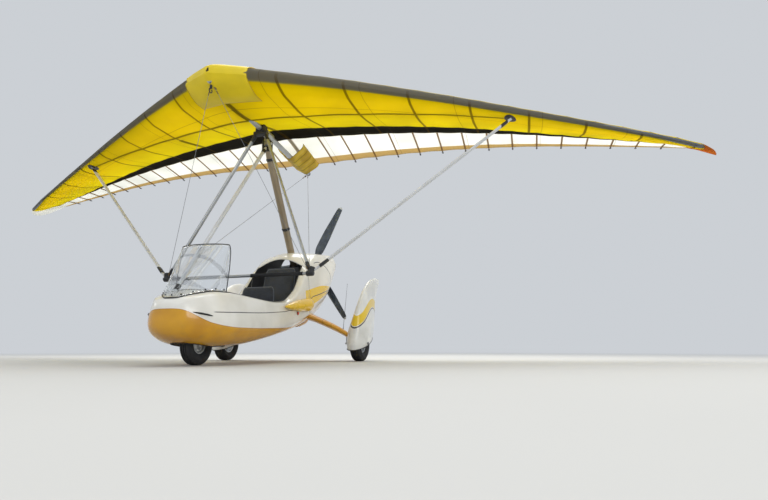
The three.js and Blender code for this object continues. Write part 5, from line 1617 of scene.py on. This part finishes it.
barrels, covers, exhaust = bmesh.new(), bmesh.new(), bmesh.new()
for _, side in sides:
    for fore in CYLINDERS_FORE:
        for i in range(FINS):
            x = 0.078 + FIN_STEP * i
            fin = [at(side * left, fore, CYLINDERS_UP) for left in (x, x + FIN_THICK)]
            tube(fin, 0.060, 28, barrels)
        tube([at(side * left, fore, CYLINDERS_UP) for left in (0.07, 0.172)], 0.044, 28, barrels)
        stepped(HEAD, lambda x: at(side * x, fore, CYLINDERS_UP), 28, covers)
        plug = at(side * 0.196, fore, CYLINDERS_UP + 0.060)
        tube([plug, plug + Vector((0, 0, 0.030))], 0.007, 10, covers)
        lead = [plug + Vector((0, 0, 0.028)), plug + Vector((-0.03 * side, 0.02, 0.075)),
                at(side * 0.06, -0.99, 1.19)]
        tube(rounded(lead, 0.04), 0.0035, 8, covers)
        down = places(at, (side * 0.150, fore, 0.990), (side * 0.150, fore, 0.870),
                      (side * 0.12, -1.08, 0.815), (side * 0.055, -1.135, SILENCER_UP))
        tube(rounded(down, 0.05), 0.0135, 16, exhaust)
keep(barrels, "engine_barrels", "trike", "engine", fin_look)
keep(covers, "engine_heads_and_leads", "trike", "black_plastic", dark_look)
stepped(SILENCER, lambda x: at(x, SILENCER_FORE, SILENCER_UP), 32, exhaust)
for x in (-0.08, 0.08):
    pin(at(x, SILENCER_FORE, SILENCER_UP), (0.006, 0, 0), 0.0545, 32, exhaust)
tail_pipe = places(at, (0.10, SILENCER_FORE, 0.76), (0.115, -1.150, 0.700), (0.12, -1.185, 0.665))
tube(rounded(tail_pipe, 0.03), 0.017, 18, exhaust)
keep(exhaust, "exhaust_and_silencer", "trike", "steel", pipe_look)
filters, bed = bmesh.new(), bmesh.new()
for _, side in sides:
    stepped(FILTER, lambda up: at(side * 0.125, CARB_FORE, CARB_UP + up), 28, filters)
    intake = places(at, (side * 0.125, CARB_FORE, CARB_UP), (side * 0.125, CARB_FORE, CARB_UP - 0.030),
                    (side * 0.05, CARB_FORE, CARB_UP - 0.045))
    tube(rounded(intake), 0.018, 16, filters)
    for radius, route in BED_SIDES:
        tube(rounded([at(side * BED_HALF, *spot) for spot in route]), radius, 16, bed)
keep(filters, "carburettor_filters", "trike", "black_plastic", filter_look)
for spot in BED_CROSS:
    pin(at(0, *spot), (BED_CROSS_HALF, 0, 0), 0.0115, 16, bed)
keep(bed, "engine_bed_tubes", "trike", "steel", fork_look, stands_for=["engine_bed"])

# Propeller: three moulded carbon blades in an alloy hub with six bolts, on the gearbox's shaft.
# Each blade has a metal strip along its outer leading edge.
PROP_FORE, PROP_UP, PROP_TURN = -1.370, 1.245, math.radians(27)
BLADE = (
    # distance out, chord, thickness, twist in degrees
    (0.040, 0.046, 0.034, 60), (0.110, 0.062, 0.030, 52), (0.240, 0.118, 0.019, 38),
    (0.430, 0.112, 0.013, 26), (0.650, 0.090, 0.009, 19), (0.820, 0.068, 0.006, 15),
    (0.862, 0.046, 0.005, 14.2), (0.870, 0.022, 0.004, 14),
)
STRIP_FROM, STRIP_TO, TIP_BAND = 0.46, 0.82, 0.845
HUB = (
    # back, radius
    (-0.028, 0.056), (-0.024, 0.062), (0.010, 0.062), (0.014, 0.056), (0.016, 0.034), (0.060, 0.034),
    (0.064, 0.030),
)
HUB_BOLTS = 0.048
prop_middle = at(0, PROP_FORE, PROP_UP)

look = Finish("blade_carbon")
x, _, z = look.point()
arm = look.add("CombineXYZ", {0: x, 2: look.minus(z, PROP_UP)}).outputs[0]
out = look.add("VectorMath", {0: arm}, operation="LENGTH").outputs["Value"]
carbon = look.mix(look.patches(12.0), "2f3843", "46525f")
grime = look.step(look.noise(40.0, 5.0), 0.55, 0.8)
carbon = look.mix(look.times(grime, 0.25), carbon, "8b9299")
carbon = look.mix(look.step(out, TIP_BAND, TIP_BAND + 0.003), carbon, "c9ced2")
grain = look.bump(look.noise(260.0), 0.0002)
blade_look = look.done(look.shader(carbon, 0.32, Coat_Weight=0.4, Normal=grain))


def blade_ring(out, spin, lead_share, trail_share, fullness, around):
    """A blade's section at a distance from the hub, between two shares of its chord."""
    _, chord, thick, twist = between(BLADE, out)
    turn = math.radians(twist)
    flat = Vector((math.cos(turn), math.sin(turn), 0))
    across = Vector((-math.sin(turn), math.cos(turn), 0))
    lead, trail = [Vector((0, 0, out)) + flat * chord * share for share in (lead_share, trail_share)]
    ring = foil_ring(lead, trail, thick / 2 * fullness, across, around)
    return [prop_middle + spin @ point for point in ring]


blades, strips = bmesh.new(), bmesh.new()
for a in turns(3):
    spin = Matrix.Rotation(PROP_TURN + a, 4, "Y")
    loft([blade_ring(BLADE[0][0] + (BLADE[-1][0] - BLADE[0][0]) * t, spin, 0.4, -0.6, 1, 28)
          for t in steps(34)], blades)
    loft([blade_ring(STRIP_FROM + (STRIP_TO - STRIP_FROM) * t, spin, 0.406, 0.28, 0.62, 14)
          for t in steps(10)], strips)
keep(blades, "propeller_blades", "propeller", "blade", blade_look, stands_for=["propeller"], sharp=50)
keep(strips, "propeller_edge_strips", "propeller", "alloy", alloy_look)
hub = stepped(HUB, lambda back: prop_middle + Vector((0, back, 0)), 40, guide=(1, 0, 0))
for a in [turn + math.pi / 6 for turn in turns(6)]:
    bolt = prop_middle + Vector((HUB_BOLTS * math.cos(a), 0.013, HUB_BOLTS * math.sin(a)))
    tube([bolt, bolt + Vector((0, 0.011, 0))], 0.0068, 6, hub)
keep(hub, "propeller_hub", "propeller", "alloy", rim_look, round_off=0.0015)
shaft = tube(places(at, (0, -1.282, PROP_UP), (0, -1.340, PROP_UP)), 0.030, 32, guide=(1, 0, 0))
keep(shaft, "propeller_shaft", "propeller", "steel", alloy_look, round_off=0.002)

# Whip aerial: a tapered black rod with a small ball on its tip, set in a rubber foot that is
# fixed to the left leg.
AERIAL_LEFT = 0.690
whip = tube(places(at, (AERIAL_LEFT, -0.706, 0.340), (AERIAL_LEFT, -0.830, 0.900)), [0.0028, 0.0012], 8)
tube(places(at, (AERIAL_LEFT, -0.704, 0.335), (AERIAL_LEFT, -0.712, 0.372)), [0.012, 0.005], 16, whip)
tube(places(at, (AERIAL_LEFT, -0.829, 0.897), (AERIAL_LEFT, -0.830, 0.903)), 0.003, 8, whip)
keep(whip, "whip_aerial_rod", "trike", "black_plastic", rubber_trim, stands_for=["whip_aerial"])

# Side lamp: a red moulded plastic lens in a black rubber bezel, pressed into the pod's left side
# below the cockpit's rim.
LAMP_LEFT, LAMP_FORE, LAMP_UP = 0.391, -0.120, 0.510
LENS = ((0.000, 0.016), (0.006, 0.0155), (0.011, 0.012), (0.014, 0.005))


def lamp_at(out):
    return at(LAMP_LEFT + out, LAMP_FORE, LAMP_UP)


lens_look = plain("red_lens", "d8401c", 0.12, grain=200.0, relief=0.0002, Coat_Weight=0.8)
keep(stepped(LENS, lamp_at, 24), "side_lamp_lens", "trike", "lamp_lens", lens_look,
     stands_for=["side_lamp"], sharp=70)
keep(tube([lamp_at(-0.003), lamp_at(0.003)], 0.0195, 24), "side_lamp_bezel", "trike", "black_plastic",
     rubber_trim, round_off=0.001)
